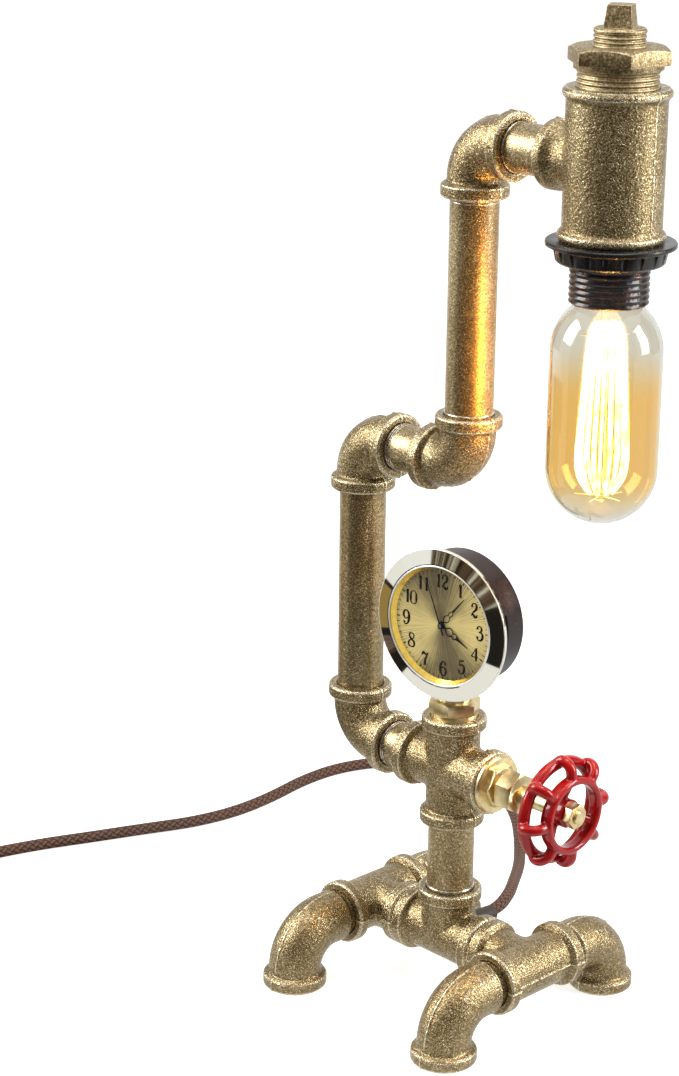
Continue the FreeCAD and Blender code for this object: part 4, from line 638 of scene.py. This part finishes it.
SLOT_OF = {part["node"]: part["material_slot"] for part in frame["record"]["subparts"]}
BODY_OF = {node: body for body, names in frame["record"]["behaviour"]["bodies"].items() for node in names}


def block(centre, size):
    """The matrix that makes a block of a cube of size 1."""
    return Matrix.Translation(centre) @ Matrix.Diagonal((*size, 1))


def finished(name, form, finish, smooth=True):
    """A bmesh made into an object that stands in place."""
    mesh = bpy.data.meshes.new(name)
    form.to_mesh(mesh)
    form.free()
    mesh.materials.append(finish)
    mesh.polygons.foreach_set("use_smooth", [smooth] * len(mesh.polygons))
    return collect(name, mesh)


def attach(piece, body, slot, *stands_for):
    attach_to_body(piece, body)
    if stands_for:
        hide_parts(*stands_for)
    return piece


def merged_copy(node):
    """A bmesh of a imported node, with its loose triangles joined."""
    form = bmesh.new()
    form.from_mesh(nodes[node].data)
    bmesh.ops.remove_doubles(form, verts=form.verts, dist=0.002 * MM)
    return form


def closed_outward(form):
    """Joins the seam of a spun shape and turns its faces outwards."""
    bmesh.ops.remove_doubles(form, verts=form.verts, dist=0.001 * MM)
    bmesh.ops.recalc_face_normals(form, faces=form.faces)
    return form


def evaluated(thing):
    """The mesh that an object's modifiers give."""
    graph = bpy.context.evaluated_depsgraph_get()
    return bpy.data.meshes.new_from_object(thing.evaluated_get(graph), depsgraph=graph)


def round_bar(name, radius=0.0, rounding=0, capped=True):
    """An empty curve whose lines are drawn as round bars."""
    data = bpy.data.curves.new(name, "CURVE")
    data.dimensions = "3D"
    data.bevel_depth = radius
    data.bevel_resolution = rounding
    data.use_fill_caps = capped
    return data


def add_line(data, spots, weights=(), closed=False):
    """A smooth line along some points, which it reaches at its two ends alone."""
    line = data.splines.new("NURBS")
    line.points.add(len(spots) - 1)
    for point, spot in zip(line.points, spots):
        point.co = (*spot, 1)
    for point, weight in zip(line.points, weights):
        point.radius = weight
    line.order_u = 3
    line.use_cyclic_u = closed
    line.use_endpoint_u = not closed


def drawn(data):
    """The mesh that a curve gives. The curve itself goes."""
    curve = collect(data.name, data)
    mesh = evaluated(curve)
    bpy.data.objects.remove(curve)
    return mesh


def drawn_form(data):
    form = bmesh.new()
    form.from_mesh(drawn(data))
    return form


def drawn_piece(name, data, finish):
    mesh = drawn(data)
    mesh.materials.clear()
    mesh.materials.append(finish)
    mesh.polygons.foreach_set("use_smooth", [True] * len(mesh.polygons))
    return collect(name, mesh)


def settled(thing):
    """Keeps what the modifiers give and takes them off."""
    mesh = evaluated(thing)
    thing.modifiers.clear()
    thing.data = mesh
    return thing


# a fillet fades out over the last part of its reach
FILLET_FULL = 0.85
FILLET_FADE = 0.15
FILLET_PASSES = 45

SEAM_HALF_WIDTH = 0.8 * MM
SEAM_HEIGHT = 0.6 * MM
RAGGEDNESS = 450


def casting(node, seam=None, voxel=0.46 * MM, soften=1, fillet=None):
    """A cast copy of a node: edges rounded, a fillet (centre, reach) where legs meet, and a ragged
    ridge where the halves of its mould met, in the plane (point, normal)."""
    piece = finished(node + "_casting", merged_copy(node), FINISHES[SLOT_OF[node]]())
    remesh = piece.modifiers.new("skin", "REMESH")
    remesh.mode = "VOXEL"
    remesh.voxel_size = voxel
    remesh.use_smooth_shade = True
    settled(piece)
    if fillet:
        centre, reach = fillet
        zone = piece.vertex_groups.new(name="fillet")
        for vertex in piece.data.vertices:
            away = (vertex.co - centre).length / reach
            share = 1.0 - max(0.0, away - FILLET_FULL) / FILLET_FADE
            if share > 0:
                zone.add([vertex.index], min(share, 1.0), "REPLACE")
        melt = piece.modifiers.new("melt", "SMOOTH")
        melt.factor = 0.5
        melt.iterations = FILLET_PASSES
        melt.vertex_group = "fillet"
    skin = piece.modifiers.new("soften", "SMOOTH")
    skin.factor = 0.5
    skin.iterations = soften
    settled(piece)
    piece.vertex_groups.clear()
    if seam:
        raise_seam(piece, *seam)
    return attach(piece, BODY_OF[node], SLOT_OF[node], node)


def raise_seam(piece, point, normal):
    """Lifts the ragged ridge along a plane, but never through the floor."""
    moved = {}
    for vertex in piece.data.vertices:
        away = abs((vertex.co - point).dot(normal)) / SEAM_HALF_WIDTH
        if away < 1:
            ragged = max(0.0, 0.75 + 0.8 * noise.noise(vertex.co * RAGGEDNESS))
            moved[vertex.index] = vertex.co + vertex.normal * ragged * SEAM_HEIGHT * (1 - away)
    for index, spot in moved.items():
        spot.z = max(spot.z, 0.0)
        piece.data.vertices[index].co = spot


# how far the axis of an outlet lies from the closed end of its fitting
SIDE_TEE_AXIS = 14.8 * MM
HEAD_TEE_AXIS = 43 * MM

TEE_FILLET = 20.5 * MM
HEAD_FILLET = 17 * MM


def make_castings():
    level, upright, across = Vector((0, 0, 1)), Vector((0, 1, 0)), Vector((1, 0, 0))
    for node, flat in (("left_tee", level), ("right_tee", level), ("centre_tee", upright),
                       ("cross_fitting", upright)):
        casting(node, seam=(junction(node), flat), fillet=(junction(node), TEE_FILLET))
    for node in ("front_left_foot", "rear_left_foot", "front_right_foot", "rear_right_foot"):
        casting(node, seam=(middle(node), across))
    for node in ("lower_elbow", "bend_elbow_lower", "bend_elbow_upper", "top_elbow"):
        casting(node, seam=(middle(node), upright))
    low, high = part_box("head_tee")
    outlet = Vector((high.x - HEAD_TEE_AXIS, 0, (low.z + high.z) / 2))
    casting("head_tee", seam=(outlet, upright), voxel=0.55 * MM, fillet=(outlet, HEAD_FILLET))
    casting("handwheel", voxel=0.42 * MM, soften=14)


def junction(node):
    """Where the axes of a straight fitting meet."""
    spot = middle(node)
    low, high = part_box(node)
    if node == "left_tee":
        return Vector((low.x + SIDE_TEE_AXIS, spot.y, spot.z))
    if node == "right_tee":
        return Vector((high.x - SIDE_TEE_AXIS, spot.y, spot.z))
    if node == "centre_tee":
        return Vector((spot.x, 0, BEAM_Z))
    return spot


BROKEN_EDGE = 0.2 * MM
FLAT_WITHIN = radians(1)
EDGE_FROM = radians(28)
SHARP_FROM = radians(35)


def crisp(node, finish=None):
    """A machined copy of a node: flat faces kept flat, and edges broken by a small bevel that is marked
    as rubbed."""
    form = merged_copy(node)
    bmesh.ops.dissolve_limit(form, angle_limit=FLAT_WITHIN, verts=form.verts, edges=form.edges)
    piece = finished(node + "_turned", form, FINISHES[SLOT_OF[node]]())
    piece.data.materials.append(finish or piece.data.materials[0])
    edge = piece.modifiers.new("broken_edges", "BEVEL")
    edge.width = BROKEN_EDGE
    edge.segments = 2
    edge.limit_method = "ANGLE"
    edge.angle_limit = EDGE_FROM
    edge.harden_normals = True
    edge.material = 1
    settled(piece)
    rubbed = piece.data.attributes.new("rubbed", "FLOAT", "CORNER")
    for face in piece.data.polygons:
        for corner in face.loop_indices:
            rubbed.data[corner].value = face.material_index
        face.material_index = 0
    piece.data.materials.pop(index=1)
    if finish:
        piece.data.materials[0] = finish
    piece.data.set_sharp_from_angle(angle=SHARP_FROM)
    return attach(piece, BODY_OF[node], SLOT_OF[node], node)


# ---------------------------------------------------------------- threads at the pipe ends

PIPE_RADIUS = (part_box("riser_nipple")[1].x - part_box("riser_nipple")[0].x) / 2
THREAD_ROOT = PIPE_RADIUS - 0.3 * MM
THREAD_FADING = 0.25
ROUND_STEPS = 48


def thread_rows(name, start, direction, count, body, proud=0.18 * MM, pitch=1.2 * MM):
    """Bare thread crests round a pipe, from a fitting's face outwards, each lower than the last."""
    form = bmesh.new()
    start, direction = Vector(start), Vector(direction).normalized()
    side = direction.orthogonal().normalized()
    for row in range(count):
        crest = PIPE_RADIUS + proud * (1 - THREAD_FADING * row)
        profile = ((0.0, THREAD_ROOT), (0.3, crest), (0.65, crest), (1.0, THREAD_ROOT))
        spots = [form.verts.new(start + direction * ((row + share) * pitch) + side * reach)
                 for share, reach in profile]
        loop = [form.edges.new((spots[k], spots[(k + 1) % 4])) for k in range(4)]
        bmesh.ops.spin(form, geom=spots + loop, cent=start, axis=direction, angle=2 * pi, steps=ROUND_STEPS,
                       use_merge=True)
    attach(finished(name, closed_outward(form), bare_thread()), body, "pipe_paint")


def make_threads():
    up, down, right, left = (0, 0, 1), (0, 0, -1), (1, 0, 0), (-1, 0, 0)
    riser = middle("riser_nipple").x
    thread_rows("riser_threads_low", (riser, 0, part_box("centre_tee")[1].z), up, 1, "base",
                proud=0.5 * MM, pitch=1.7 * MM)
    thread_rows("riser_threads_high", (riser, 0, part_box("cross_fitting")[0].z), down, 1, "base",
                pitch=1.5 * MM)
    side = middle("side_nipple").z
    thread_rows("side_threads_left", (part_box("lower_elbow")[1].x, 0, side), right, 2, "base")
    thread_rows("side_threads_right", (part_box("cross_fitting")[0].x, 0, side), left, 1, "base")
    bend = middle("bend_nipple").z
    thread_rows("bend_threads", (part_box("bend_elbow_lower")[1].x, 0, bend), right, 3, "swing_arm")
    upper = middle("upper_pipe").x
    thread_rows("upper_pipe_threads_low", (upper, 0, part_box("bend_elbow_upper")[1].z), up, 1, "swing_arm",
                proud=0.45 * MM, pitch=1.5 * MM)
    thread_rows("upper_pipe_threads_high", (upper, 0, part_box("top_elbow")[0].z), down, 2, "swing_arm",
                proud=0.1 * MM)
    head = middle("head_nipple").z
    thread_rows("head_threads_left", (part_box("top_elbow")[1].x, 0, head), right, 1, "lamp_head")
    thread_rows("head_threads_right", (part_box("head_tee")[0].x, 0, head), left, 1, "lamp_head")


# ---------------------------------------------------------------- clock

CLOCK_TURN = radians(7)
DIAL_MIDDLE = tuple(middle("clock_dial"))
DIAL_ROLL = radians(2.6)
HALF_DIAL = 0.3 * MM
NUMERAL_HEIGHT = 6.2 * MM
NUMERAL_CIRCLE = 20.3 * MM
MINUTE_TRACK = 25.4 * MM
HOUR_TICK = (1.7 * MM, 0.55 * MM)
MINUTE_TICK = (1.3 * MM, 0.3 * MM)
TICK_THICKNESS = 0.06 * MM
PRINT_FLATNESS = 0.12
BEZEL_OPENING = 55 * MM
BEZEL_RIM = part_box("clock_bezel")[1].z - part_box("clock_bezel")[0].z

# shares of a numeral's height: its pen, a figure, the step to the next one, and a word of one or two figures
PEN = 0.062
FIGURE_WIDTH = 0.6
FIGURE_STEP = 0.58
WORD_WIDTH = (0.52, 1.14)
NARROWING = 0.95

# pen strokes of each figure in a box FIGURE_WIDTH wide and 1 high: (x, y, weight)
FIGURES = {
    "0": [[(0.3, 1, 0.5), (0.06, 0.95, 0.8), (0.02, 0.5, 2), (0.06, 0.05, 0.8), (0.3, 0, 0.5),
           (0.54, 0.05, 0.8), (0.58, 0.5, 2), (0.54, 0.95, 0.8), (0.3, 1, 0.5)]],
    "1": [[(0.32, 1, 1.7), (0.32, 0.5, 1.7), (0.32, 0, 1.7)],
          [(0.12, 0.84, 0.6), (0.2, 0.86, 0.6), (0.32, 1, 0.9)]],
    "2": [[(0.16, 0.74, 2), (0.06, 0.84, 1.2), (0.18, 1.02, 0.6), (0.44, 1.02, 1), (0.56, 0.78, 2),
           (0.4, 0.5, 1.4), (0.16, 0.3, 0.8), (0.04, 0.06, 0.6)],
          [(0.04, 0.06, 0.6), (0.2, 0.26, 1.2), (0.34, 0.02, 1.9), (0.54, 0, 1.3), (0.6, 0.24, 0.7)]],
    "3": [[(0.14, 0.78, 2), (0.08, 0.94, 1), (0.32, 1.06, 0.6), (0.52, 0.9, 1.6), (0.46, 0.62, 1.3),
           (0.22, 0.56, 0.6)],
          [(0.22, 0.56, 0.6), (0.54, 0.6, 1.2), (0.62, 0.26, 2), (0.46, -0.04, 1.2), (0.1, 0, 0.7),
           (0.12, 0.24, 2)]],
    "4": [[(0.44, 1, 1.2), (0.44, 0.5, 1.9), (0.44, 0, 1.4)],
          [(0.44, 1, 0.6), (0.22, 0.62, 0.7), (0, 0.3, 0.8)],
          [(0, 0.3, 0.8), (0.3, 0.28, 0.8), (0.6, 0.32, 1.1)]],
    "5": [[(0.16, 0.98, 0.8), (0.34, 0.9, 1.6), (0.54, 1.04, 0.8)],
          [(0.16, 0.98, 0.7), (0.13, 0.78, 0.7), (0.12, 0.56, 0.7)],
          [(0.12, 0.56, 0.7), (0.34, 0.74, 0.9), (0.6, 0.56, 1.9), (0.54, 0.08, 1.6), (0.24, -0.06, 0.7),
           (0.06, 0.1, 1), (0.16, 0.22, 2)]],
    "6": [[(0.46, 0.8, 2), (0.54, 0.94, 1), (0.32, 1.08, 0.6), (0.06, 0.8, 1.6), (0.02, 0.3, 2),
           (0.16, -0.04, 1), (0.46, -0.04, 0.8), (0.6, 0.3, 1.9), (0.44, 0.62, 0.9), (0.16, 0.56, 0.7),
           (0.08, 0.36, 0.7)]],
    "7": [[(0.04, 0.74, 1.4), (0.1, 1.02, 1.4), (0.3, 0.86, 1.4), (0.46, 0.82, 1), (0.6, 1, 0.7)],
          [(0.6, 1, 0.7), (0.42, 0.62, 1), (0.3, 0.4, 1.8), (0.3, 0, 2)]],
    "8": [[(0.32, 1.02, 0.7), (0.08, 1, 1.3), (0.1, 0.68, 1.4), (0.34, 0.52, 1.2), (0.6, 0.34, 1.6),
           (0.54, 0, 1.2), (0.3, -0.04, 0.7), (0.04, 0, 1.2), (0.02, 0.36, 1.3), (0.28, 0.52, 0.7),
           (0.54, 0.7, 0.9), (0.52, 1, 1), (0.32, 1.02, 0.7)]],
}


def figure_strokes(figure):
    """A nine is a six turned upside down."""
    if figure == "9":
        return [[(FIGURE_WIDTH - x, 1 - y, weight) for x, y, weight in stroke] for stroke in FIGURES["6"]]
    return FIGURES[figure]


def on_dial(lift):
    """From the plane in which things are drawn to the dial, lifted off its face."""
    face = Matrix.Rotation(CLOCK_TURN, 4, "Z") @ Matrix.Rotation(pi / 2, 4, "X")
    return Matrix.Translation(DIAL_MIDDLE) @ face @ Matrix.Translation((0, 0, HALF_DIAL + lift))


def make_numerals():
    """Numerals one to twelve, drawn with a pen of changing weight."""
    pen = round_bar("numeral_pen", PEN * NUMERAL_HEIGHT, 1)
    pen.resolution_u = 4
    for hour in range(1, 13):
        angle = hour * pi / 6 - DIAL_ROLL
        middle_x, middle_y = sin(angle) * NUMERAL_CIRCLE, cos(angle) * NUMERAL_CIRCLE
        word = str(hour)
        width = WORD_WIDTH[len(word) - 1]
        for place, figure in enumerate(word):
            for stroke in figure_strokes(figure):
                spots = [(middle_x + (x + FIGURE_STEP * place - width / 2) * NUMERAL_HEIGHT * NARROWING,
                          middle_y + (y - 0.5) * NUMERAL_HEIGHT, 0) for x, y, _ in stroke]
                add_line(pen, spots, [weight for _, _, weight in stroke])
    form = drawn_form(pen)
    bmesh.ops.scale(form, vec=(1, 1, PRINT_FLATNESS), verts=form.verts)
    return form


def make_clock_print():
    """The numerals, and a tick for each minute that is longer and wider at the hours."""
    form = make_numerals()
    for tick in range(60):
        length, width = HOUR_TICK if tick % 5 == 0 else MINUTE_TICK
        turn = Matrix.Rotation(-tick * pi / 30 + DIAL_ROLL, 4, "Z")
        tile = block((0, MINUTE_TRACK - length / 2, 0), (width, length, TICK_THICKNESS))
        bmesh.ops.create_cube(form, size=1, matrix=turn @ tile)
    bmesh.ops.transform(form, matrix=on_dial(TICK_THICKNESS / 2), verts=form.verts)
    piece = finished("dial_print", form, print_black(), smooth=False)
    attach(piece, "clock_insert", "hand_black")


LIP_SIDES = 8
LIP_STEPS = 120


def make_bezel_lips():
    """Painted highlights along the bezel's edges, as thin pale bars: round its opening and round its rim."""
    for name, radius, lift, bar in (("opening_lip", BEZEL_OPENING / 2 + 0.15 * MM, 2.9 * MM, 0.42 * MM),
                                    ("rim_lip", BEZEL_RIM / 2 - 0.35 * MM, 0.95 * MM, 0.40 * MM)):
        form = bmesh.new()
        angles = [k * 2 * pi / LIP_SIDES for k in range(LIP_SIDES)]
        spots = [form.verts.new((radius + cos(angle) * bar, 0, sin(angle) * bar)) for angle in angles]
        loop = [form.edges.new((spots[k], spots[(k + 1) % LIP_SIDES])) for k in range(LIP_SIDES)]
        bmesh.ops.spin(form, geom=spots + loop, cent=(0, 0, 0), axis=(0, 0, 1), angle=2 * pi,
                       steps=LIP_STEPS, use_merge=True)
        bmesh.ops.transform(closed_outward(form), matrix=on_dial(lift), verts=form.verts)
        attach(finished(name, form, chrome_edge()), "clock_insert", "bezel_chrome")


# of each hand: its length in mm, its turn in degrees, its lift off the dial in mm, and the pen strokes of its
# right half, which is mirrored, as (x, y, weight) of a hand one long that points up
HANDS = {
    "minute_hand": (19.3, -39.5, 0.95, [
        [(0, -0.12, 1.6), (0, 0.15, 1.5)],
        [(0, 0.14, 1), (0.085, 0.20, 0.9), (0.07, 0.31, 0.9), (0.012, 0.36, 0.9)],
        [(0.012, 0.35, 0.9), (0.055, 0.40, 0.9), (0.045, 0.47, 0.9), (0, 0.53, 1.2)],
        [(0, 0.50, 1.9), (0, 0.75, 1.3), (0, 1, 0.7)]]),
    "hour_hand": (16.4, -117.7, 0.45, [
        [(0, 0, 1.9), (0, 0.18, 1.5)],
        [(0, 0.16, 1), (0.11, 0.22, 1), (0.13, 0.36, 1), (0.02, 0.42, 1)],
        [(0.02, 0.41, 1), (0.10, 0.46, 1), (0.06, 0.56, 1), (0, 0.58, 1.5)],
        [(0, 0.56, 3.4), (0, 0.66, 2.2), (0, 0.80, 1.3), (0, 1, 0.7)]]),
}


HAND_PEN = 0.27 * MM
HAND_FLATNESS = 0.25


def make_hands():
    """Pierced hands, each with a round boss, in place of the plain ones."""
    for node, (length, turn, lift, strokes) in HANDS.items():
        pen = round_bar(node + "_pen", HAND_PEN, 1)
        for stroke in strokes:
            for side in (-1, 1):
                spots = [(side * x * length * MM, y * length * MM, 0) for x, y, _ in stroke]
                add_line(pen, spots, [weight for _, _, weight in stroke])
        form = drawn_form(pen)
        bmesh.ops.scale(form, vec=(1, 1, HAND_FLATNESS), verts=form.verts)
        bmesh.ops.create_cone(form, cap_ends=True, segments=32, radius1=1.75 * MM, radius2=1.6 * MM,
                              depth=0.22 * MM)
        turned = on_dial(lift * MM) @ Matrix.Rotation(radians(turn), 4, "Z")
        bmesh.ops.transform(form, matrix=turned, verts=form.verts)
        piece = finished(node + "_pierced", form, print_black(), smooth=False)
        attach(piece, BODY_OF[node], "hand_black", node)


# ---------------------------------------------------------------- filament

LOOPS = 10
WIRE_RADIUS = 0.58 * MM
WIRE_RISE = 7 * MM
WIRE_LEAN = 0.22

# one run of the wire from top to bottom: (share of the height, share of the cage's radius)
WIRE_RUN = ((0.03, 0.48), (0.10, 0.66), (0.32, 0.76), (0.58, 0.88), (0.86, 1.0), (0.97, 0.52))


def make_filament():
    """The wire of the squirrel cage, up and down between its hooks and bowed in at both ends."""
    low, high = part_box("filament")
    centre, reach = (low + high) / 2, (high.x - low.x) / 2
    top = high.z + WIRE_RISE
    spots = []
    for half in range(2 * LOOPS):
        run = WIRE_RUN if half % 2 == 0 else tuple(reversed(WIRE_RUN))
        for step, (drop, share) in enumerate(run):
            angle = (half + WIRE_LEAN * step / len(run)) * pi / LOOPS
            spots.append((centre.x + cos(angle) * reach * share, centre.y + sin(angle) * reach * share,
                          top - drop * (top - low.z)))
    line = round_bar("wire_line", WIRE_RADIUS, 2, capped=False)
    line.resolution_u = 4
    add_line(line, spots, closed=True)
    attach(drawn_piece("cage_wire", line, filament_wire()), "lamp", "filament_wire", "filament")


# ---------------------------------------------------------------- cord

CORD = 6 * MM
ON_FLOOR = 3.1 * MM
CORD_EXIT = (RISER_X, 9 * MM, BEAM_Z)

# the cord's middle in millimetres, from behind the base to the coil
CORD_ROUTE = [
    (-26.5, 53.5, 24), (-43, 74.5, 17.5), (-60, 96, 9.5), (-78, 118, 3.1), (-98.5, 140, 3.1),
    (-119, 159, 3.1), (-142, 173.5, 3.1), (-169, 179, 3.1), (-196, 174, 3.1), (-217, 157, 3.1),
    (-227.5, 132, 3.1), (-228, 105, 3.1), (-223, 78, 3.1), (-221.5, 51, 3.1), (-226.5, 25, 3.1),
    (-237.5, 0, 3.1), (-248, -26, 3.1), (-259.5, -53, 3.1), (-268, -81, 3.1), (-272.5, -109, 3.1),
]
# from the coil's middle to the plug, in millimetres: (along, height)
CORD_TAIL = ((4, 9.1), (14, 8.8), (26, 7.8), (34, 7.6))

TURNS_BESIDE = 3
LAST_TURN = 5.475
POINTS_PER_TURN = 16
OUTER_TURN = 39 * MM
SIDESTEP = 0.2
CLIMB_DIP = 0.35
CHORD_GAIN = 1.012
CORD_STEP = 2.5 * MM


def jog(turn):
    """Whole turns with a quick sidestep in the last part of each."""
    part = max(0.0, (turn % 1 - (1 - SIDESTEP)) / SIDESTEP)
    return floor(turn) + part * part * (3 - 2 * part)


def coil_points(start, heading):
    """Three turns inwards on the floor, then outwards on top of them, until the cord heads for its plug.
    The turns are drawn a little wide, because the smooth line cuts across their corners."""
    centre = start + Vector((heading.y, -heading.x, 0)) * OUTER_TURN
    first = Vector((1, 0)).angle_signed((start - centre).xy.normalized())
    points = []
    for step in range(1, int(LAST_TURN * POINTS_PER_TURN) + 1):
        turn = step / POINTS_PER_TURN
        if turn < TURNS_BESIDE:
            radius = OUTER_TURN - jog(min(turn, TURNS_BESIDE - 1)) * CORD
            rise = jog(turn) - (TURNS_BESIDE - 1) if turn > TURNS_BESIDE - 1 else 0
            radius -= sin(pi * max(rise, 0)) * CLIMB_DIP * CORD
        else:
            radius = OUTER_TURN - (TURNS_BESIDE - 1) * CORD + jog(turn - TURNS_BESIDE) * CORD
            rise = 1
        angle = -first - turn * 2 * pi
        spot = centre + Vector((cos(angle), sin(angle), 0)) * radius * CHORD_GAIN
        points.append(Vector((spot.x, spot.y, ON_FLOOR + max(rise, 0) * CORD)))
    return centre, points


def make_cord():
    seat = Vector(CORD_EXIT)
    relief_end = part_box("cord_grommet")[1].y
    route = [seat, Vector((seat.x, relief_end + CORD / 2, seat.z))]
    route += [Vector(spot) * MM for spot in CORD_ROUTE]
    heading = (route[-1] - route[-2]).normalized()
    centre, turns = coil_points(route[-1], heading)
    plug_x = centre.x - OUTER_TURN
    tail = [Vector((plug_x, centre.y + along * MM, height * MM)) for along, height in CORD_TAIL]
    guide = round_bar("cord_line")
    guide.resolution_u = 8
    add_line(guide, route + turns + tail)
    path = even_steps([vertex.co.copy() for vertex in drawn(guide).vertices], CORD_STEP)
    sleeve = round_bar("cord_sleeve", CORD / 2, 4)
    tube = sleeve.splines.new("POLY")
    tube.points.add(len(path) - 1)
    for point, spot in zip(tube.points, path):
        point.co = (*spot, 1)
    piece = drawn_piece("flex", sleeve, brown_textile())
    attach(piece, "base", "brown_textile", "power_cord", "cord_coil")
    length = sum((b - a).length for a, b in zip(path, path[1:]))
    plug = make_plug(plug_x, centre.y)


def even_steps(points, step):
    """The same line, with its points a step apart."""
    placed = [points[0]]
    left = step
    for start, end in zip(points, points[1:]):
        run = (end - start).length
        spot = 0.0
        while run - spot >= left:
            spot += left
            placed.append(start.lerp(end, spot / run))
            left = step
        left -= run - spot
    placed.append(points[-1])
    return placed


PLUG_AXIS = 7.6 * MM
PLUG_START = 40 * MM
PLUG_SIZE = (22 * MM, 30 * MM, 14.4 * MM)
PLUG_CORNER = 5 * MM
PLUG_EDGE = 1.2 * MM
BLADE_SIZE = (1.5 * MM, 17 * MM, 6.3 * MM)
BLADE_APART = 12.7 * MM
BLADE_OUT = 8 * MM
BLADE_EDGE = 0.3 * MM

# the sleeve behind the plug's body: ribs that grow towards it, on a core
RIBS = 6
RIB_START = -12.8 * MM
RIB_PITCH = 2.4 * MM
RIB_WIDTH = 1.9 * MM
RIB_RADIUS = 3.9 * MM
RIB_GROWTH = 0.25 * MM
RIB_TAPER = 0.94
CORE_MIDDLE = -6.8 * MM
CORE_LENGTH = 14 * MM
CORE_RADII = (4.6 * MM, 3.5 * MM)


def make_plug(x, y):
    """Moulded two-blade plug with a ribbed sleeve."""
    start, end = y + PLUG_START, y + PLUG_START + PLUG_SIZE[1]
    form = bmesh.new()
    bmesh.ops.create_cube(form, size=1, matrix=block((x, (start + end) / 2, PLUG_AXIS), PLUG_SIZE))
    corners = [edge for edge in form.edges if abs((edge.verts[0].co - edge.verts[1].co).z) > 1 * MM]
    bmesh.ops.bevel(form, geom=corners, offset=PLUG_CORNER, segments=4, profile=0.5, affect="EDGES",
                    material=-1)
    rims = [edge for edge in form.edges if edge.calc_face_angle(0) > 0.6]
    bmesh.ops.bevel(form, geom=rims, offset=PLUG_EDGE, segments=3, profile=0.5, affect="EDGES", material=-1)
    bars = [(RIB_START + rib * RIB_PITCH, RIB_WIDTH, RIB_RADIUS + RIB_GROWTH * rib,
             (RIB_RADIUS + RIB_GROWTH * rib) * RIB_TAPER) for rib in range(RIBS)]
    for behind, width, far_radius, near_radius in bars + [(CORE_MIDDLE, CORE_LENGTH, *CORE_RADII)]:
        lying = Matrix.Translation((x, start + behind, PLUG_AXIS)) @ Matrix.Rotation(pi / 2, 4, "X")
        bmesh.ops.create_cone(form, cap_ends=True, segments=24, radius1=far_radius, radius2=near_radius,
                              depth=width, matrix=lying)
    plug = finished("plug_body", form, FINISHES["black_rubber"](), smooth=False)
    attach(plug, "base", "black_rubber", "mains_plug")
    blades = bmesh.new()
    for side in (-1, 1):
        centre = (x + side * BLADE_APART / 2, end + BLADE_OUT, PLUG_AXIS)
        bmesh.ops.create_cube(blades, size=1, matrix=block(centre, BLADE_SIZE))
    bmesh.ops.bevel(blades, geom=list(blades.edges), offset=BLADE_EDGE, segments=2, profile=0.5,
                    affect="EDGES", material=-1)
    attach(finished("plug_blades", blades, FINISHES["shell_brass"](), smooth=False), "base", "shell_brass")
    return plug


# ---------------------------------------------------------------- everything in order

place_camera()
make_cord()
finish_nodes()
make_castings()
for turned in ("valve_bonnet", "packing_nut", "clock_bushing", "wheel_nut", "lamp_holder", "shade_ring"):
    crisp(turned)
for turned in ("hex_bushing", "square_plug"):
    crisp(turned, machined_paint())
make_threads()
make_clock_print()
make_hands()
make_bezel_lips()
make_filament()
nodes["bulb_glass"].visible_shadow = False
nodes["clock_glass"].visible_shadow = False
light_scene()
bpy.context.scene.view_settings.view_transform = "Standard"

boxes = {"cad": cad_bounds, "visual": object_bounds()}
{name: [list(corner) for corner in box] for name, box in boxes.items()}
